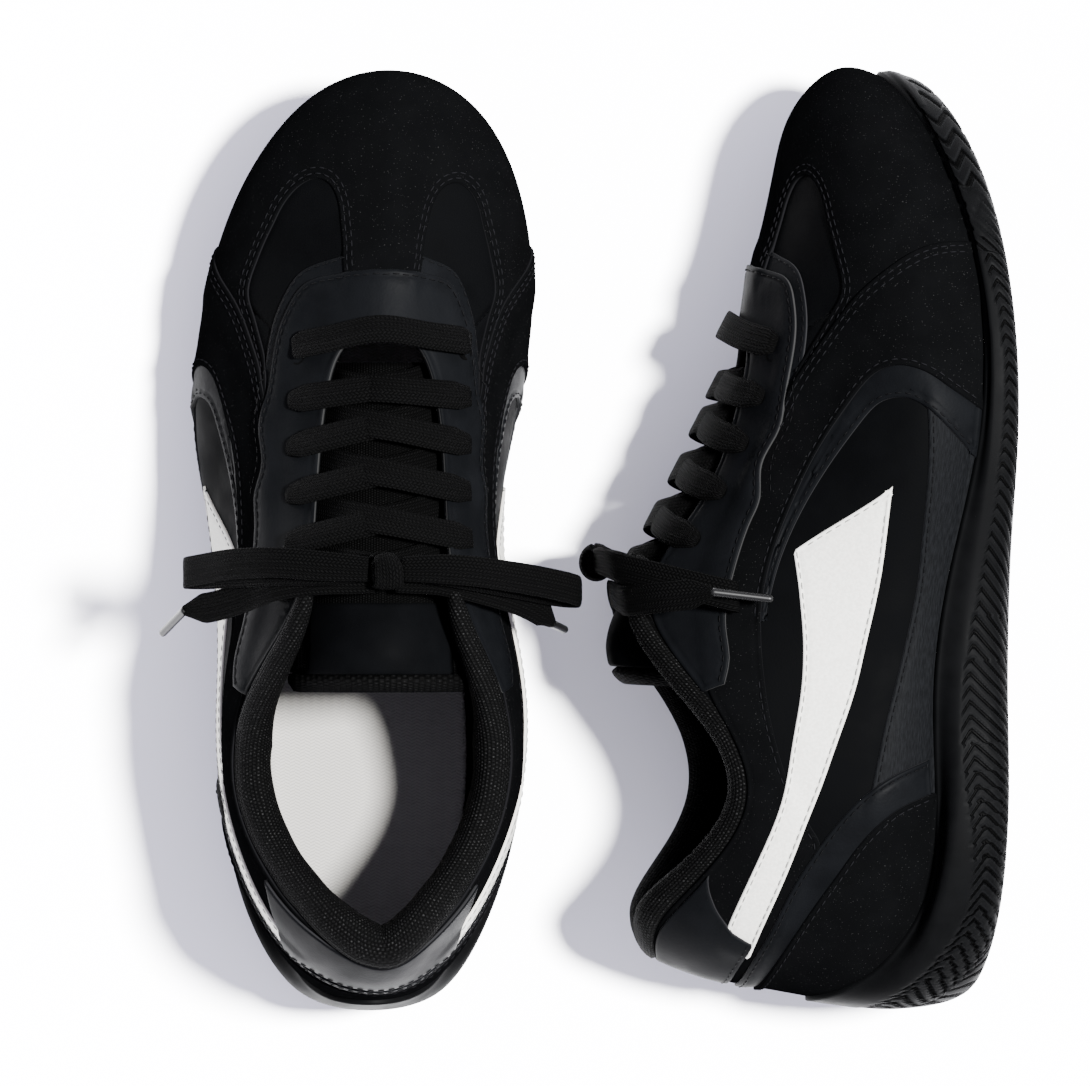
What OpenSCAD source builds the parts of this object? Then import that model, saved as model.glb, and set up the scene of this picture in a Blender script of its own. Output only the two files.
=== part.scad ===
// A pair of low-top lace-up sport shoes: the left one stands on its sole, the right one lies on its
// inner side.
// Every piece is drawn once, for the left shoe, in the shoe's own frame: heel at y = 0, toe towards +Y,
// inner (medial) side at +X, ground at z = 0. The right shoe is its mirror image, turned onto its side.

/* [Pair] */
// Distance of the left shoe's centre line from the middle of the pair
left_x = -68.9; // [-80:0.1:-60]
// Heel line of both shoes, measured from the middle of the pair
heel_y = -139.7; // [-150:0.1:-130]
// Place of the lying shoe's ground plane, to the right of the middle
right_sole_x = 116.7; // [110:0.1:150]
// Height of the lying shoe's centre line above the floor
right_lift = 43; // [40:0.1:60]
// How far the lying shoe is rolled towards its sole
lie_tilt = 3.89; // [0:0.01:16]
// How far the lying shoe's length is turned about its own upright line
lie_turn = -1.03; // [-4:0.01:4]
// How far the lying shoe is turned on the floor
lie_yaw = -1.1; // [-5:0.1:5]

/* [Upper] */
// Thickness of the main upper leather
shell_t = 1.0; // [0.6:0.1:1.6]
// Thickness of each sewn-on layer
layer_t = 0.5; // [0.4:0.05:1]
// Clearance left between two layers
layer_gap = 0.2; // [0.1:0.05:0.6]
// Thickness of the inner lining
lining_t = 1.1; // [0.6:0.1:2]

/* [Collar and tongue] */
// Width of the padded collar roll
collar_w = 9.5; // [7:0.5:12]
// Height of the padded collar roll
collar_h = 17; // [12:1:22]
// Thickness of the padded tongue
tongue_t = 5; // [3:0.5:8]

/* [Laces] */
// Width of the flat lace
lace_w = 8; // [6:0.5:10]
// Thickness of the flat lace
lace_t = 1.5; // [1:0.1:2.5]
// Radius of the lace tips
tip_r = 1.3; // [1:0.1:2]

/* [Sole] */
// Thickness of the rubber wall at its lip
lip_t = 2.4; // [1.5:0.1:4]
// Thickness of the rubber under the foam wedge
tread_t = 6; // [4:0.5:8]
// Thickness of the loose insole
insole_t = 4; // [3:0.5:6]

/* [Hidden] */
PIECES = ["outsole", "midsole", "insole", "lining", "heel_counter", "vamp", "quarter_lateral",
    "quarter_medial", "toe_cap", "side_overlay_lateral", "side_overlay_medial",
    "arch_trim_lateral", "arch_trim_medial", "rand_lateral", "rand_medial", "stripe_lateral",
    "stripe_medial", "heel_cover", "heel_trim", "heel_tab", "collar", "eyestay_underlay",
    "eyestay", "tongue", "tongue_label", "tongue_binding", "lace", "bow", "lace_tails", "aglets"];

// ---- outer surface of the upper --------------------------------------------------------------
// Six rings of twenty stations each, from the sole line (ring 0) to the edge of the opening (ring 5).
// Station 0 is the middle of the heel, 1 to 9 run along the inner side, 10 is the toe, 11 to 19 the
// outer side.
SOLE_LINE = [[0,14,24], [15,18,23], [27,34,22], [33,66,21], [32,100,20], [30,134,17], [35,168,12],
    [41,204,11], [38,238,17], [24,260,23], [6,267,25], [-14,260,23], [-32,238,17], [-44,204,11],
    [-45,168,12], [-40,134,17], [-36,100,20], [-35,66,21], [-27,34,22], [-15,18,23]];
LOW = [[0,4,44], [18,9,40], [33,30,38], [42,64,36], [44,98,34], [37,134,32], [41.5,170,26], [48,207,25],
    [43.5,243,33], [30,268,42], [8,278,45], [-17,271,42], [-38,243,33], [-49,207,25], [-52,170,25],
    [-45.5,134,31], [-43.5,98,34], [-44,64,36], [-33,30,38], [-18,9,40]];
MIDDLE = [[0,5,60], [18,11,58], [33,31,56], [44,64,53], [45.5,98,53], [38.5,134,50], [41,170,41],
    [45,206,39], [42.5,240,47], [30,264,54], [8,275,57], [-17,266,54], [-37,240,47], [-47,206,38],
    [-50,170,38], [-44.5,134,47], [-44,98,52], [-44,64,53], [-33,31,56], [-18,11,58]];
SHOULDER = [[2,7,75], [18,14,75], [32,33,72], [44,64,66], [45,98,70], [37,134,70], [38,169,57], [38,203,54],
    [34,232,58], [24,250,64], [7,262,67], [-12,252,63], [-30,232,56], [-38,203,51], [-42,169,54],
    [-39,134,66], [-43,98,69], [-42,64,65], [-32,33,72], [-17,14,75]];
HIGH = [[3,10,89], [17,18,90], [31,35,86], [42,63,76], [43,96,84], [34,128,92], [31,160,76], [29,192,70],
    [24,216,68], [15,232,70], [6,240,71], [-6,232,70], [-19,216,66], [-26,192,68], [-29,160,76],
    [-32,128,86], [-41,96,81], [-41,63,71], [-30,35,85], [-16,18,90]];
EDGE = [[4,14.5,101], [17,23,104], [29,37,97], [40.5,62,84], [40,93,93], [26,120,111], [22.5,148,92],
    [21,172,83], [17,191,79], [11,198,79.5], [3.7,200,80], [-4,198,79.5], [-10,191,78.5], [-13.4,172,83],
    [-15.5,148,91], [-19,120,110], [-37,92,90], [-39,63,77], [-27,38,92], [-13,24,104]];
STATIONS = 20;
TOP = 5;
RINGS = [SOLE_LINE, LOW, MIDDLE, SHOULDER, HIGH, EDGE];

// Control points of the smooth surface that passes close to every ring point
function around(ring, i) = ring[(i + 2 * STATIONS) % STATIONS];
function tight_ring(ring) = [for (i = [0 : STATIONS - 1])
    ring[i] - (around(ring, i - 1) - 2 * ring[i] + around(ring, i + 1)) / 6];
function padded(rows) = concat([2 * rows[0] - rows[1]], rows, [2 * rows[TOP] - rows[TOP - 1]]);
TIGHT = padded([for (ring = RINGS) tight_ring(ring)]);
MESH = padded([for (j = [1 : TOP + 1]) TIGHT[j] - (TIGHT[j - 1] - 2 * TIGHT[j] + TIGHT[j + 1]) / 6]);
function weights(f) = [pow(1 - f, 3), 3 * pow(f, 3) - 6 * f * f + 4, -3 * pow(f, 3) + 3 * f * f + 3 * f + 1,
    pow(f, 3)] / 6;
// A point of the surface: s counts stations round the shoe, t counts rings upwards
function row_point(row, i, w) = w[0] * around(row, i - 1) + w[1] * around(row, i) + w[2] * around(row, i + 1)
    + w[3] * around(row, i + 2);
function surf(s, t) = let (i = floor(s), j = min(floor(max(t, 0)), TOP - 1), ws = weights(s - i),
    wt = weights(min(max(t, 0), TOP) - j))
    wt[0] * row_point(MESH[j], i, ws) + wt[1] * row_point(MESH[j + 1], i, ws)
    + wt[2] * row_point(MESH[j + 2], i, ws) + wt[3] * row_point(MESH[j + 3], i, ws);
function unit(v) = v / norm(v);
function out(s, t) = let (e = 0.04, a = min(t + e, TOP), b = max(min(t, TOP) - e, 0))
    unit(cross(surf(s + e, t) - surf(s - e, t), surf(s, a) - surf(s, b)));
function raised(s, t, d) = surf(s, t) + d * out(s, t);

// ---- helpers ----------------------------------------------------------------------------------
// Smooth curve through points of any dimension, with m steps between neighbours
function at(p, i) = p[min(max(i, 0), len(p) - 1)];
function smooth(p, m) = [for (i = [0 : len(p) - 2]) for (k = [0 : m - 1]) let (f = k / m, a = at(p, i - 1),
    b = p[i], c = p[i + 1], d = at(p, i + 2)) 0.5 * (2 * b + (c - a) * f + (2 * a - 5 * b + 4 * c - d) * f * f
    + (3 * b - a - 3 * c + d) * f * f * f), p[len(p) - 1]];
function mirrored(p) = [for (i = [0 : len(p) - 1]) [STATIONS - p[i][0], p[i][1]]];
function reversed(p) = [for (i = [len(p) - 1 : -1 : 0]) p[i]];
function lerp(a, b, f) = a + (b - a) * f;

// Closed skin between the curves a and b on the surface, from depth d0 to depth d1, in n strips
module skin(a, b, d0, d1, n) {
    m = len(a);
    points = [for (d = [d0, d1]) for (i = [0 : m - 1]) for (k = [0 : n])
        let (q = lerp(a[i], b[i], k / n)) raised(q[0], q[1], d)];
    function id(layer, i, k) = (layer * m + i) * (n + 1) + k;
    function quad(p, q, r, s) = [[p, q, r], [p, r, s]];
    faces = [for (i = [0 : m - 2]) for (k = [0 : n - 1]) each concat(
            quad(id(0, i, k), id(0, i + 1, k), id(0, i + 1, k + 1), id(0, i, k + 1)),
            quad(id(1, i, k), id(1, i, k + 1), id(1, i + 1, k + 1), id(1, i + 1, k))),
        for (i = [0 : m - 2]) each concat(
            quad(id(0, i, 0), id(1, i, 0), id(1, i + 1, 0), id(0, i + 1, 0)),
            quad(id(0, i, n), id(0, i + 1, n), id(1, i + 1, n), id(1, i, n))),
        for (k = [0 : n - 1]) each concat(
            quad(id(0, 0, k), id(0, 0, k + 1), id(1, 0, k + 1), id(1, 0, k)),
            quad(id(0, m - 1, k), id(1, m - 1, k), id(1, m - 1, k + 1), id(0, m - 1, k + 1)))];
    polyhedron(points, faces);
}

// Closed solid through a stack of closed rings, with both ends bridged straight across
module stack(rings) {
    n = len(rings[0]);
    last = len(rings) - 1;
    points = [for (ring = rings) each ring];
    function id(j, i) = j * n + (i % n);
    wall = [for (j = [0 : last - 1]) for (i = [0 : n - 1]) each
        [[id(j, i), id(j + 1, i), id(j + 1, i + 1)], [id(j, i), id(j + 1, i + 1), id(j, i + 1)]]];
    function cap(j) = [for (i = [0 : n / 2 - 1]) each concat(
        i == 0 ? [] : [[id(j, i), id(j, i + 1), id(j, n - i)]],
        i == n / 2 - 1 ? [] : [[id(j, i + 1), id(j, n - i - 1), id(j, n - i)]])];
    polyhedron(points, concat(wall, cap(0), [for (f = cap(last)) [f[2], f[1], f[0]]]));
}

// Closed solid through a row of open cross-sections that are joined end to end when round is true
module loft(given, round = false, flip = false) {
    sections = flip ? reversed(given) : given;
    n = len(sections[0]);
    m = len(sections);
    points = [for (section = sections) each section];
    function id(j, i) = (j % m) * n + (i % n);
    wall = [for (j = [0 : m - (round ? 1 : 2)]) for (i = [0 : n - 1]) each
        [[id(j, i), id(j + 1, i), id(j + 1, i + 1)], [id(j, i), id(j + 1, i + 1), id(j, i + 1)]]];
    function cap(j) = [for (i = [0 : n / 2 - 2]) each
        [[id(j, i), id(j, i + 1), id(j, n - 2 - i)], [id(j, i), id(j, n - 2 - i), id(j, n - 1 - i)]]];
    caps = round ? [] : concat(cap(0), [for (f = cap(m - 1)) [f[2], f[1], f[0]]]);
    polyhedron(points, concat(wall, caps));
}

// Flat band of lace along a route, lying across the direction that wide names
module ribbon(route, w, t, wide) loft([for (i = [0 : len(route) - 1]) let (here = route[i],
    run = unit(at(route, i + 1) - at(route, i - 1)), across = unit(wide - (wide * run) * run),
    face = cross(across, run))
    [here - across * w / 2 - face * t / 2, here - across * w / 2 + face * t / 2,
    here + across * w / 2 + face * t / 2, here + across * w / 2 - face * t / 2]]);

// ---- sole -------------------------------------------------------------------------------------
// Three rings of the rubber: flat of the tread, its rounded edge, and the widest line of the wall
TREAD = [[0,26,0.2], [9,29,0], [18,41,0], [23,67,0], [22,100,0], [19,132,0.3], [23,168,0], [28,205,1.4],
    [24,235,6], [16,254,13], [5,262,17], [-9,256,13.5], [-20,236,6.2], [-30,205,1.4], [-31,168,0],
    [-27,132,0.3], [-24,100,0], [-24,67,0], [-19,41,0], [-10,29,0]];
TREAD_EDGE = [[0,6,8], [16,10.5,7], [33,33,2.8], [40,66,1.4], [39,98,3], [32.5,132,3.2], [37,168,0.7],
    [43,206,2.4], [39,242,9], [25.5,264,19], [6,274.5,27], [-15,266.5,19.5], [-34,241,9], [-46,206,2.4],
    [-47,168,0.7], [-41,132,3.2], [-38.5,98,3], [-40,66,1.2], [-34,33,2.8], [-17,10.5,7]];
WALL = [[0,0,29.5], [22,5.5,28], [36.5,31,20], [44.8,64,14], [44,98,14], [36.5,133,12], [40.8,168,9],
    [46.6,206,9.5], [42,243,18], [28,266,29], [6,278.6,36], [-17,268.5,29], [-36.5,243,18],
    [-49,206,9.5], [-50,168,9],
    [-44.5,133,12], [-42.5,98,15], [-44,64,16], [-37.5,31,20], [-22.5,5.5,28]];
// Ring at which the rubber's lip ends on the upper, station by station
LIP = [1.85, 1.1, 0.1, 0.12, 0.3, 0.2, 0.08, 0.05, 0.12, 0.35, 0.85, 0.35, 0.12, 0.05, 0.08, 0.2, 0.3, 0.12,
    0.1, 1.1];
SOLE_STEPS = 48;
function lip_level(s) = max(row_point(tight_ring(LIP), floor(s), weights(s - floor(s))), 0.03);
function station(i, steps) = STATIONS * i / steps;
function closed_ring(ring, steps) = let (tight = tight_ring(ring))
    [for (i = [0 : steps - 1]) let (s = station(i, steps)) row_point(tight, floor(s), weights(s - floor(s)))];
function lip_ring(d, steps, k = 1) = [for (i = [0 : steps - 1]) let (s = station(i, steps))
    raised(s, k * lip_level(s), d)];
// The sole line pulled towards the middle of the shoe by a distance, at a height above itself
function inner_ring(pull, rise, steps) = [for (i = [0 : steps - 1]) let (s = station(i, steps),
    p = surf(s, 0), q = surf(s + 0.2, 0) - surf(s - 0.2, 0), n = unit([q[1], -q[0], 0]))
    p - pull * n + [0, 0, rise]];
// Underside of the foot space, from the ground up
board_drop = 1.5;
floor_pull = 7;
// Clearance between the upper and the rubber that wraps it
seat = 0.35;
function cup_floor(steps) = [for (p = inner_ring(floor_pull, 0, steps))
    [p[0], p[1], min(ground(p[1]) + tread_t, p[2] - 5)]];
// Height of the sole's underside over its length
function ground(y) = y > 190 ? 25 * pow((y - 190) / 80, 2)
    : y > 70 && y < 160 ? 3 * pow(sin(2 * (y - 70)), 2) : 0;

module outsole() color("#2b2c30") stack([closed_ring(TREAD, SOLE_STEPS), closed_ring(TREAD_EDGE, SOLE_STEPS),
    closed_ring(WALL, SOLE_STEPS), lip_ring(lip_t, SOLE_STEPS),
    each [for (k = [1, 0.66, 0.33, 0]) lip_ring(seat, SOLE_STEPS, k)],
    inner_ring(0.6, -0.8, SOLE_STEPS), cup_floor(SOLE_STEPS)]);

module midsole() color("#d8d5cc") stack([[for (p = cup_floor(40)) p + [0, 0, 0.5]],
    inner_ring(2.4, -board_drop, 40)]);

module insole() color("#cfcabd") stack([inner_ring(4.4, -board_drop + 0.3, 40),
    inner_ring(4.4, -board_drop + insole_t - 1, 40), inner_ring(7, -board_drop + insole_t, 40)]);

// ---- upper ------------------------------------------------------------------------------------
// Depths of the sewn layers, counted outwards from the main upper
function layer_in(k) = layer_gap + k * (layer_t + layer_gap);
function layer_out(k) = layer_in(k) + layer_t;
// Sole line of the upper, just clear of the rubber's lip
foot = 0.03;
brim = 4.96;

function level(a, b, t, steps) = [for (i = [0 : steps]) [lerp(a, b, i / steps), t]];
// A row that follows the rubber's lip, and a copy of a row that stays above it
lip_gap = 0.05;
function above_lip(q) = [q[0], max(q[1], lip_level((q[0] + STATIONS) % STATIONS) + lip_gap)];
function clear_of_lip(row) = [for (q = row) above_lip(q)];

module vamp() color("#303036") skin(level(7.2, 12.8, foot, 22), level(7.2, 12.8, brim, 22), -shell_t, 0, 9);
module quarter(from, to) color("#2f2f34") skin(level(from, to, foot, 18), level(from, to, brim, 18),
    -shell_t, 0, 6);

// The lining stops below the collar roll and runs up to the edge beside the tongue
LINING_TOP = [3.8, 3.8, 3.8, 3.8, 3.8, 4.9, 4.9, 4.9, 4.9, 4.9, 4.9];
function lining_top(s) = let (k = s <= 10 ? s : STATIONS - s, i = min(floor(k), 9))
    lerp(LINING_TOP[i], LINING_TOP[i + 1], k - i);
LINING_STEPS = 40;
LINING_ROWS = 5;
// The lining lies deeper round the heel, where the counter stiffens the upper
counter_t = 1.1;
function lining_in(s) = shell_t + 1 + 1.7 * max(0, 1 - pow(min(s, STATIONS - s) / 3.4, 4));
module lining() color("#1d1d20") loft([for (i = [0 : LINING_STEPS - 1]) let (s = station(i, LINING_STEPS),
    top = lining_top(s)) concat(
    [for (k = [0 : LINING_ROWS]) raised(s, lerp(0.12, top, k / LINING_ROWS), -lining_in(s))],
    [for (k = [LINING_ROWS : -1 : 0]) raised(s, lerp(0.12, top, k / LINING_ROWS),
        -lining_in(s) - lining_t)])],
    true, true);

module heel_counter() color("#b9b2a4") skin(level(-2.5, 2.5, 0.3, 14), level(-2.3, 2.3, 2.9, 14),
    -shell_t - 0.4 - counter_t, -shell_t - 0.4, 4);

// Toe cap: from the sole line up to a rear edge with a strip that runs up the middle
CAP_EDGE = [[7.3,2.8], [7.9,2.9], [8.5,3], [8.9,3.15], [9.05,3.5], [9.12,4.0], [9.3,4.35], [10.1,4.42],
    [10.95,4.35], [11.1,4.0], [11.15,3.5], [11.3,3.12], [11.7,3], [12.3,3.02], [12.7,3]];
function cap_edge(s, i = 0) = i == len(CAP_EDGE) - 2 || s < CAP_EDGE[i + 1][0] ? lerp(CAP_EDGE[i][1],
    CAP_EDGE[i + 1][1], (s - CAP_EDGE[i][0]) / (CAP_EDGE[i + 1][0] - CAP_EDGE[i][0])) : cap_edge(s, i + 1);
module toe_cap() color("#2e2d31") skin(clear_of_lip(level(7.2, 12.8, 0, 22)),
    [for (q = level(7.2, 12.8, 0, 22)) [q[0], cap_edge(q[0])]], layer_in(0) + 0.1, layer_out(0) + 0.1, 7);

// Suede panel: its front seam climbs from the sole, and it runs back above the arch and round the collar
OVERLAY_FRONT = [[12.33,0.05], [12.45,0.9], [12.6,1.8], [12.8,2.8], [13.1,3.5], [13.9,3.95], [14.8,4.1],
    [15.6,4.4], [16.1,4.9], [17,4.93], [18,4.93], [19,4.93], [19.95,4.93]];
OVERLAY_BACK = [[13.75,0.05], [13.55,0.8], [13.45,1.6], [13.5,2.4], [13.8,2.95], [14.5,3.3], [15.2,3.38],
    [15.9,3.4], [16.5,3.38], [17,2.8], [17.5,2.25], [18.6,2.75], [19.95,3]];
// Smooth leather edging that arches over the instep panel
ARCH_OUTER = [[13.72,0.05], [13.6,0.75], [13.47,1.4], [13.42,2], [13.5,2.5], [13.75,2.9], [14.1,3.18],
    [14.6,3.3], [15.45,3.4]];
ARCH_INNER = [[14.12,0.05], [13.9,0.8], [13.75,1.35], [13.68,1.85], [13.73,2.35], [13.93,2.68], [14.25,2.96],
    [14.7,3.15], [15.45,3.28]];
// Grained strip along the sole
RAND_TOP = [[13.85,1.26], [14.3,1.08], [14.8,0.93], [15.2,0.86], [15.6,0.93], [16,1.06], [16.4,1.2],
    [16.9,1.33]];
// Long side stripe, from its broad front end back to the heel
STRIPE_LOW = [[14.4,1.75], [15.1,1.56], [15.75,1.64], [16.2,1.78], [16.8,2.14], [17.4,2.55], [18.2,2.84],
    [18.7,2.97]];
STRIPE_HIGH = [[14.93,3.06], [15.3,2.82], [15.75,2.65], [16.2,2.7], [16.8,3.08], [17.4,3.46], [18.1,3.52],
    [18.55,3.57]];
// Band that edges the heel panel, from the sole up to the middle of the heel
BAND_OUTER = [[16.7,0.3], [16.8,0.95], [17,1.5], [17.35,2.05], [17.8,2.5], [18.4,2.75], [19.1,2.98],
    [20,3.15]];
BAND_INNER = [[17,0.3], [17.1,0.9], [17.35,1.4], [17.7,1.8], [18.1,2.15], [18.6,2.42], [19.2,2.62],
    [20,2.78]];
// Outline of the leather tab above the band, below the collar
TAB_LOW = [[18.75,3.2], [19.3,3.28], [20,3.4]];
TAB_HIGH = [[17.95,4.7], [19,4.85], [20,4.88]];
// Outer edge of the eyelet facing, from its ear at the collar round to the front
FACING = [[15.95,4.35], [15.75,4.05], [15.4,3.98], [15,3.86], [14.6,3.8], [14.35,3.76], [14,3.9], [13.7,3.78],
    [13.3,3.86], [12.8,3.86], [12.4,3.92], [12,4], [11.4,4.3], [10.7,4.48], [10,4.54]];

// A curve that ends on the middle line, carried on as its own mirror image
function shortened(p) = [for (i = [0 : len(p) - 2]) p[i]];
function both_sides(p) = concat(p, [for (q = reversed(shortened(p))) [2 * STATIONS - q[0], q[1]]]);
function whole_front(p) = concat(p, reversed(mirrored(shortened(p))));
function lowered(p, t) = [for (q = p) [q[0], t]];

// A panel of the outer side, or the same panel of the inner side
module side_panel(a, b, k, m, n, inner = false) {
    low = clear_of_lip(smooth(inner ? mirrored(b) : a, m));
    high = clear_of_lip(smooth(inner ? mirrored(a) : b, m));
    skin(low, high, layer_in(k), layer_out(k), n);
}
module side_overlay(inner) color("#2e2d31") side_panel(OVERLAY_BACK, OVERLAY_FRONT, 1, 2, 4, inner);
module arch_trim(inner) color("#33363c") side_panel(ARCH_INNER, ARCH_OUTER, 2, 2, 1, inner);
module rand(inner) color("#36373c") side_panel(lowered(RAND_TOP, 0), RAND_TOP, 0, 2, 3, inner);
module stripe(inner) color("#efeee8") side_panel(STRIPE_LOW, STRIPE_HIGH, 2, 2, 2, inner);
module heel_cover() color("#2e2d31") skin(clear_of_lip(lowered(smooth(both_sides(BAND_INNER), 2), 0)),
    [for (p = smooth(both_sides(BAND_INNER), 2)) above_lip([p[0], p[1] + 0.15])], layer_in(0) + 0.1,
    layer_out(0) + 0.1, 4);
module heel_trim() color("#33363c") skin(clear_of_lip(smooth(both_sides(BAND_INNER), 2)),
    clear_of_lip(smooth(both_sides(BAND_OUTER), 2)), layer_in(2), layer_out(2), 1);
module heel_tab() color("#34373d") skin(smooth(both_sides(TAB_LOW), 2), smooth(both_sides(TAB_HIGH), 2),
    layer_in(2), layer_out(2), 2);
module eyestay() color("#34373d") skin(reversed(whole_front(FACING)),
    reversed([for (p = whole_front(FACING)) [p[0], brim]]), layer_in(3), layer_out(3), 3);
module eyestay_underlay() color("#3b3e44") {
    edge = [for (p = smooth(whole_front([for (i = [6 : 14]) FACING[i]]), 2)) p];
    skin(reversed([for (p = edge) p - [0, 0.2]]), reversed([for (p = edge) p + [0, 0.3]]),
        layer_in(2), layer_out(2), 1);
}

// ---- collar -----------------------------------------------------------------------------------
// Padded roll around the back of the opening; it thins to a cord that runs on beside the tongue
COLLAR_FROM = -4.65;
COLLAR_TO = 4.65;
COLLAR_STEPS = 38;
function collar_size(s) = let (e = 1 - pow(abs(s) / 4.3, 10)) 0.36 + 0.64 * sqrt(max(e, 0));
module collar() color("#242427") loft([for (i = [0 : COLLAR_STEPS]) let (f = i / COLLAR_STEPS,
    s = lerp(COLLAR_FROM, COLLAR_TO, f), k = collar_size(s), p = surf(s, TOP),
    q = surf(s + 0.1, TOP) - surf(s - 0.1, TOP),
    n = unit([q[1], -q[0], 0]), a = collar_w / 2 * k, b = collar_h / 2 * k,
    c = p - n * (shell_t + layer_gap + a) + [0, 0, 5 - b])
    [for (h = [0 : 45 : 315]) c + n * a * cos(h) + [0, 0, b * sin(h)]]], false, true);

// ---- tongue -----------------------------------------------------------------------------------
// Middle line of the tongue's upper face, from its sewn end to its tip: y, z, and the half width there
TONGUE_LINE = [[193,76,17], [184,81,20], [171,86.5,22], [156,93,23], [143,99.5,24], [131,106,25],
    [121,111.3,25.5], [113,115,26], [106,116.4,26], [100,115.4,26.5]];
BINDING_LINE = [[99.2,115.1,27], [98,114.9,27], [96.3,113.3,27.2], [94.8,110.3,27]];
middle_x = 3.3;
tongue_drop = 22;
function arch(u) = tongue_drop * pow(abs(u), 2.2);
// A place on the tongue's line: height and half width at a distance along the shoe
function tongue_at(y, i = 0) = let (a = TONGUE_LINE[i], b = TONGUE_LINE[i + 1])
    i == len(TONGUE_LINE) - 2 || y > b[0] ? lerp(a, b, (a[0] - y) / (a[0] - b[0])) : tongue_at(y, i + 1);
function tongue_section(p, run, top, bottom, w) = let (n = unit([0, run[0], run[1]]), up = [0, -n[2], n[1]])
    [for (side = [1, -1]) for (g = side > 0 ? [-4 : 4] : [4 : -1 : -4]) let (u = w * g / 4)
        [middle_x + p[2] * u, p[0], p[1] - arch(u)] + up * (side > 0 ? top : bottom)];
module tongue_slab(line, top, bottom, w = 1) loft([for (i = [0 : len(line) - 1])
    tongue_section(line[i], at(line, i - 1) - at(line, i + 1), top, bottom, w)], false, true);
module tongue() color("#27272b") tongue_slab(TONGUE_LINE, 0, -tongue_t);
module tongue_label() color("#34373d") tongue_slab([for (y = [120, 115, 110, 105, 100.4]) tongue_at(y)],
    1.1 + layer_t, 1.1, 0.82);
module tongue_binding() color("#1f1f22") tongue_slab(BINDING_LINE, 0.4, -tongue_t);

// ---- laces ------------------------------------------------------------------------------------
// Six pairs of punched holes: the first pair is nearest the toe
EYELETS = 6;
throat_rise = layer_out(3) + lace_t / 2 + 0.5;
function eyelet(i, outer) = outer ? raised(12.7 + 0.455 * i, 4.32 + 0.06 * i, throat_rise)
    : raised(7.2 - 0.43 * i, 4.12 + 0.08 * i, throat_rise);
function throat(i, outer, d) = outer ? raised(12.7 + 0.455 * i, 4.93, d) : raised(7.3 - 0.43 * i, 4.93, d);
function on_tongue(x, y, rise) = let (q = tongue_at(y)) [x, y, q[1] + rise - arch((x - middle_x) / q[2])];
slope = [0, -cos(26), sin(26)];
// Stations of the edge beside the tongue where each strap comes up from under it, and where it crosses it
STRAP_FROM = [12.4, 12.85, 13.33, 13.92, 14.43];
STRAP_OVER = [12.55, 13.15, 13.67, 14.25, 14.75];
// One strap: it comes up beside the tongue at one side and dives into the next eyelet of the other side
module strap(i, outer, rise) {
    start = surf(outer ? STATIONS - STRAP_FROM[i] : STRAP_FROM[i], 4.93);
    side = outer ? -1 : 1;
    from = on_tongue(start[0] + side * 2.5, start[1], rise + 1.3);
    to = eyelet(i + 1, outer);
    edge = raised(outer ? STRAP_OVER[i] : STATIONS - STRAP_OVER[i], 4.93, throat_rise + 0.7);
    ribbon(smooth([from, on_tongue(middle_x - side * 9, lerp(from[1], to[1], 0.3), rise + 2.2),
        on_tongue(middle_x, lerp(from[1], to[1], 0.5), rise + 4.5),
        on_tongue(middle_x + side * 9, lerp(from[1], to[1], 0.7), rise + 3.4), edge, to], 2),
        lace_w, lace_t, slope);
}
module lace() color("#1c1c1f") {
    bar = lace_t / 2 + 0.5;
    ribbon(smooth([eyelet(0, true) + [0, 3, 0], throat(0, true, throat_rise) + [0, 3, 0.6],
        [middle_x, 199.5, 85.8], throat(0, false, throat_rise) + [0, 3, 0.6],
        eyelet(0, false) + [0, 3, 0]], 2),
        lace_w, lace_t, slope);
    for (i = [0 : EYELETS - 2]) {
        strap(i, true, bar);
        strap(i, false, bar + lace_t + 0.2);
    }
}

// Routes of the bow's two loops and of the two tails, out from the knot: outer side first
KNOT = [5, 130.5, 121];
BOW_LEFT = [[[0,131,122.3], [-14,132,121.8], [-28,133,118], [-40,132.5,108], [-49,131,97], [-54,130,90],
    [-53,129.5,85.5], [-48,129.5,89.3], [-38.5,130,102.3], [-28,130.5,112.9], [-14,130.5,118.5], [0,131,119.3]],
    [[10,131,122.3], [22,131,122.2], [34,130,118.5], [47,128,109], [57,126,100], [62,124.5,93.5],
    [60.5,124,89], [55.5,124.5,92], [45,126.5,102.4], [34,128.5,112.6], [22,130.5,118.1], [10,131,119.3]]];
BOW_RIGHT = [[[0,131,121.5], [-14,131,120], [-27,129.5,116], [-36,127.5,107], [-42,125,95.5],
    [-44.5,123,86.5],
    [-43.5,122,82.5], [-40,122,85], [-38,125,96], [-29,128,108.5], [-14,130,115.3], [0,131,118]],
    [[10,131,121.5], [22,131,120.5], [32,130,116], [39.5,128,109], [43.5,125,101.5], [45,121,95.5],
    [43,119,92.5],
    [40.5,120.5,96.5], [37.5,125,104.5], [30,128.5,112], [21,130.5,116], [10,131,118]]];
TAILS_LEFT = [[[2,128,116.6], [-10,128,115.6], [-19,127.5,114], [-28,126,109.2], [-37,122.6,98.6],
    [-46,119.9,91], [-54.4,118.8,84.5]],
    [[8,128,116.4], [18,128,115.6], [26,126.8,113.7], [34,125,109], [44,122,99], [51,118.5,92],
    [54,115,87.5]]];
TAILS_RIGHT = [[[2,121.5,116.5], [-14,120.5,115.5], [-29,120,114], [-42.5,121.5,105], [-49,123.5,90]],
    [[8,121.5,116.5], [22,119.5,114.5], [34,115.5,109], [41.5,111.5,101.5], [46,107.5,92.5]]];
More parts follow.
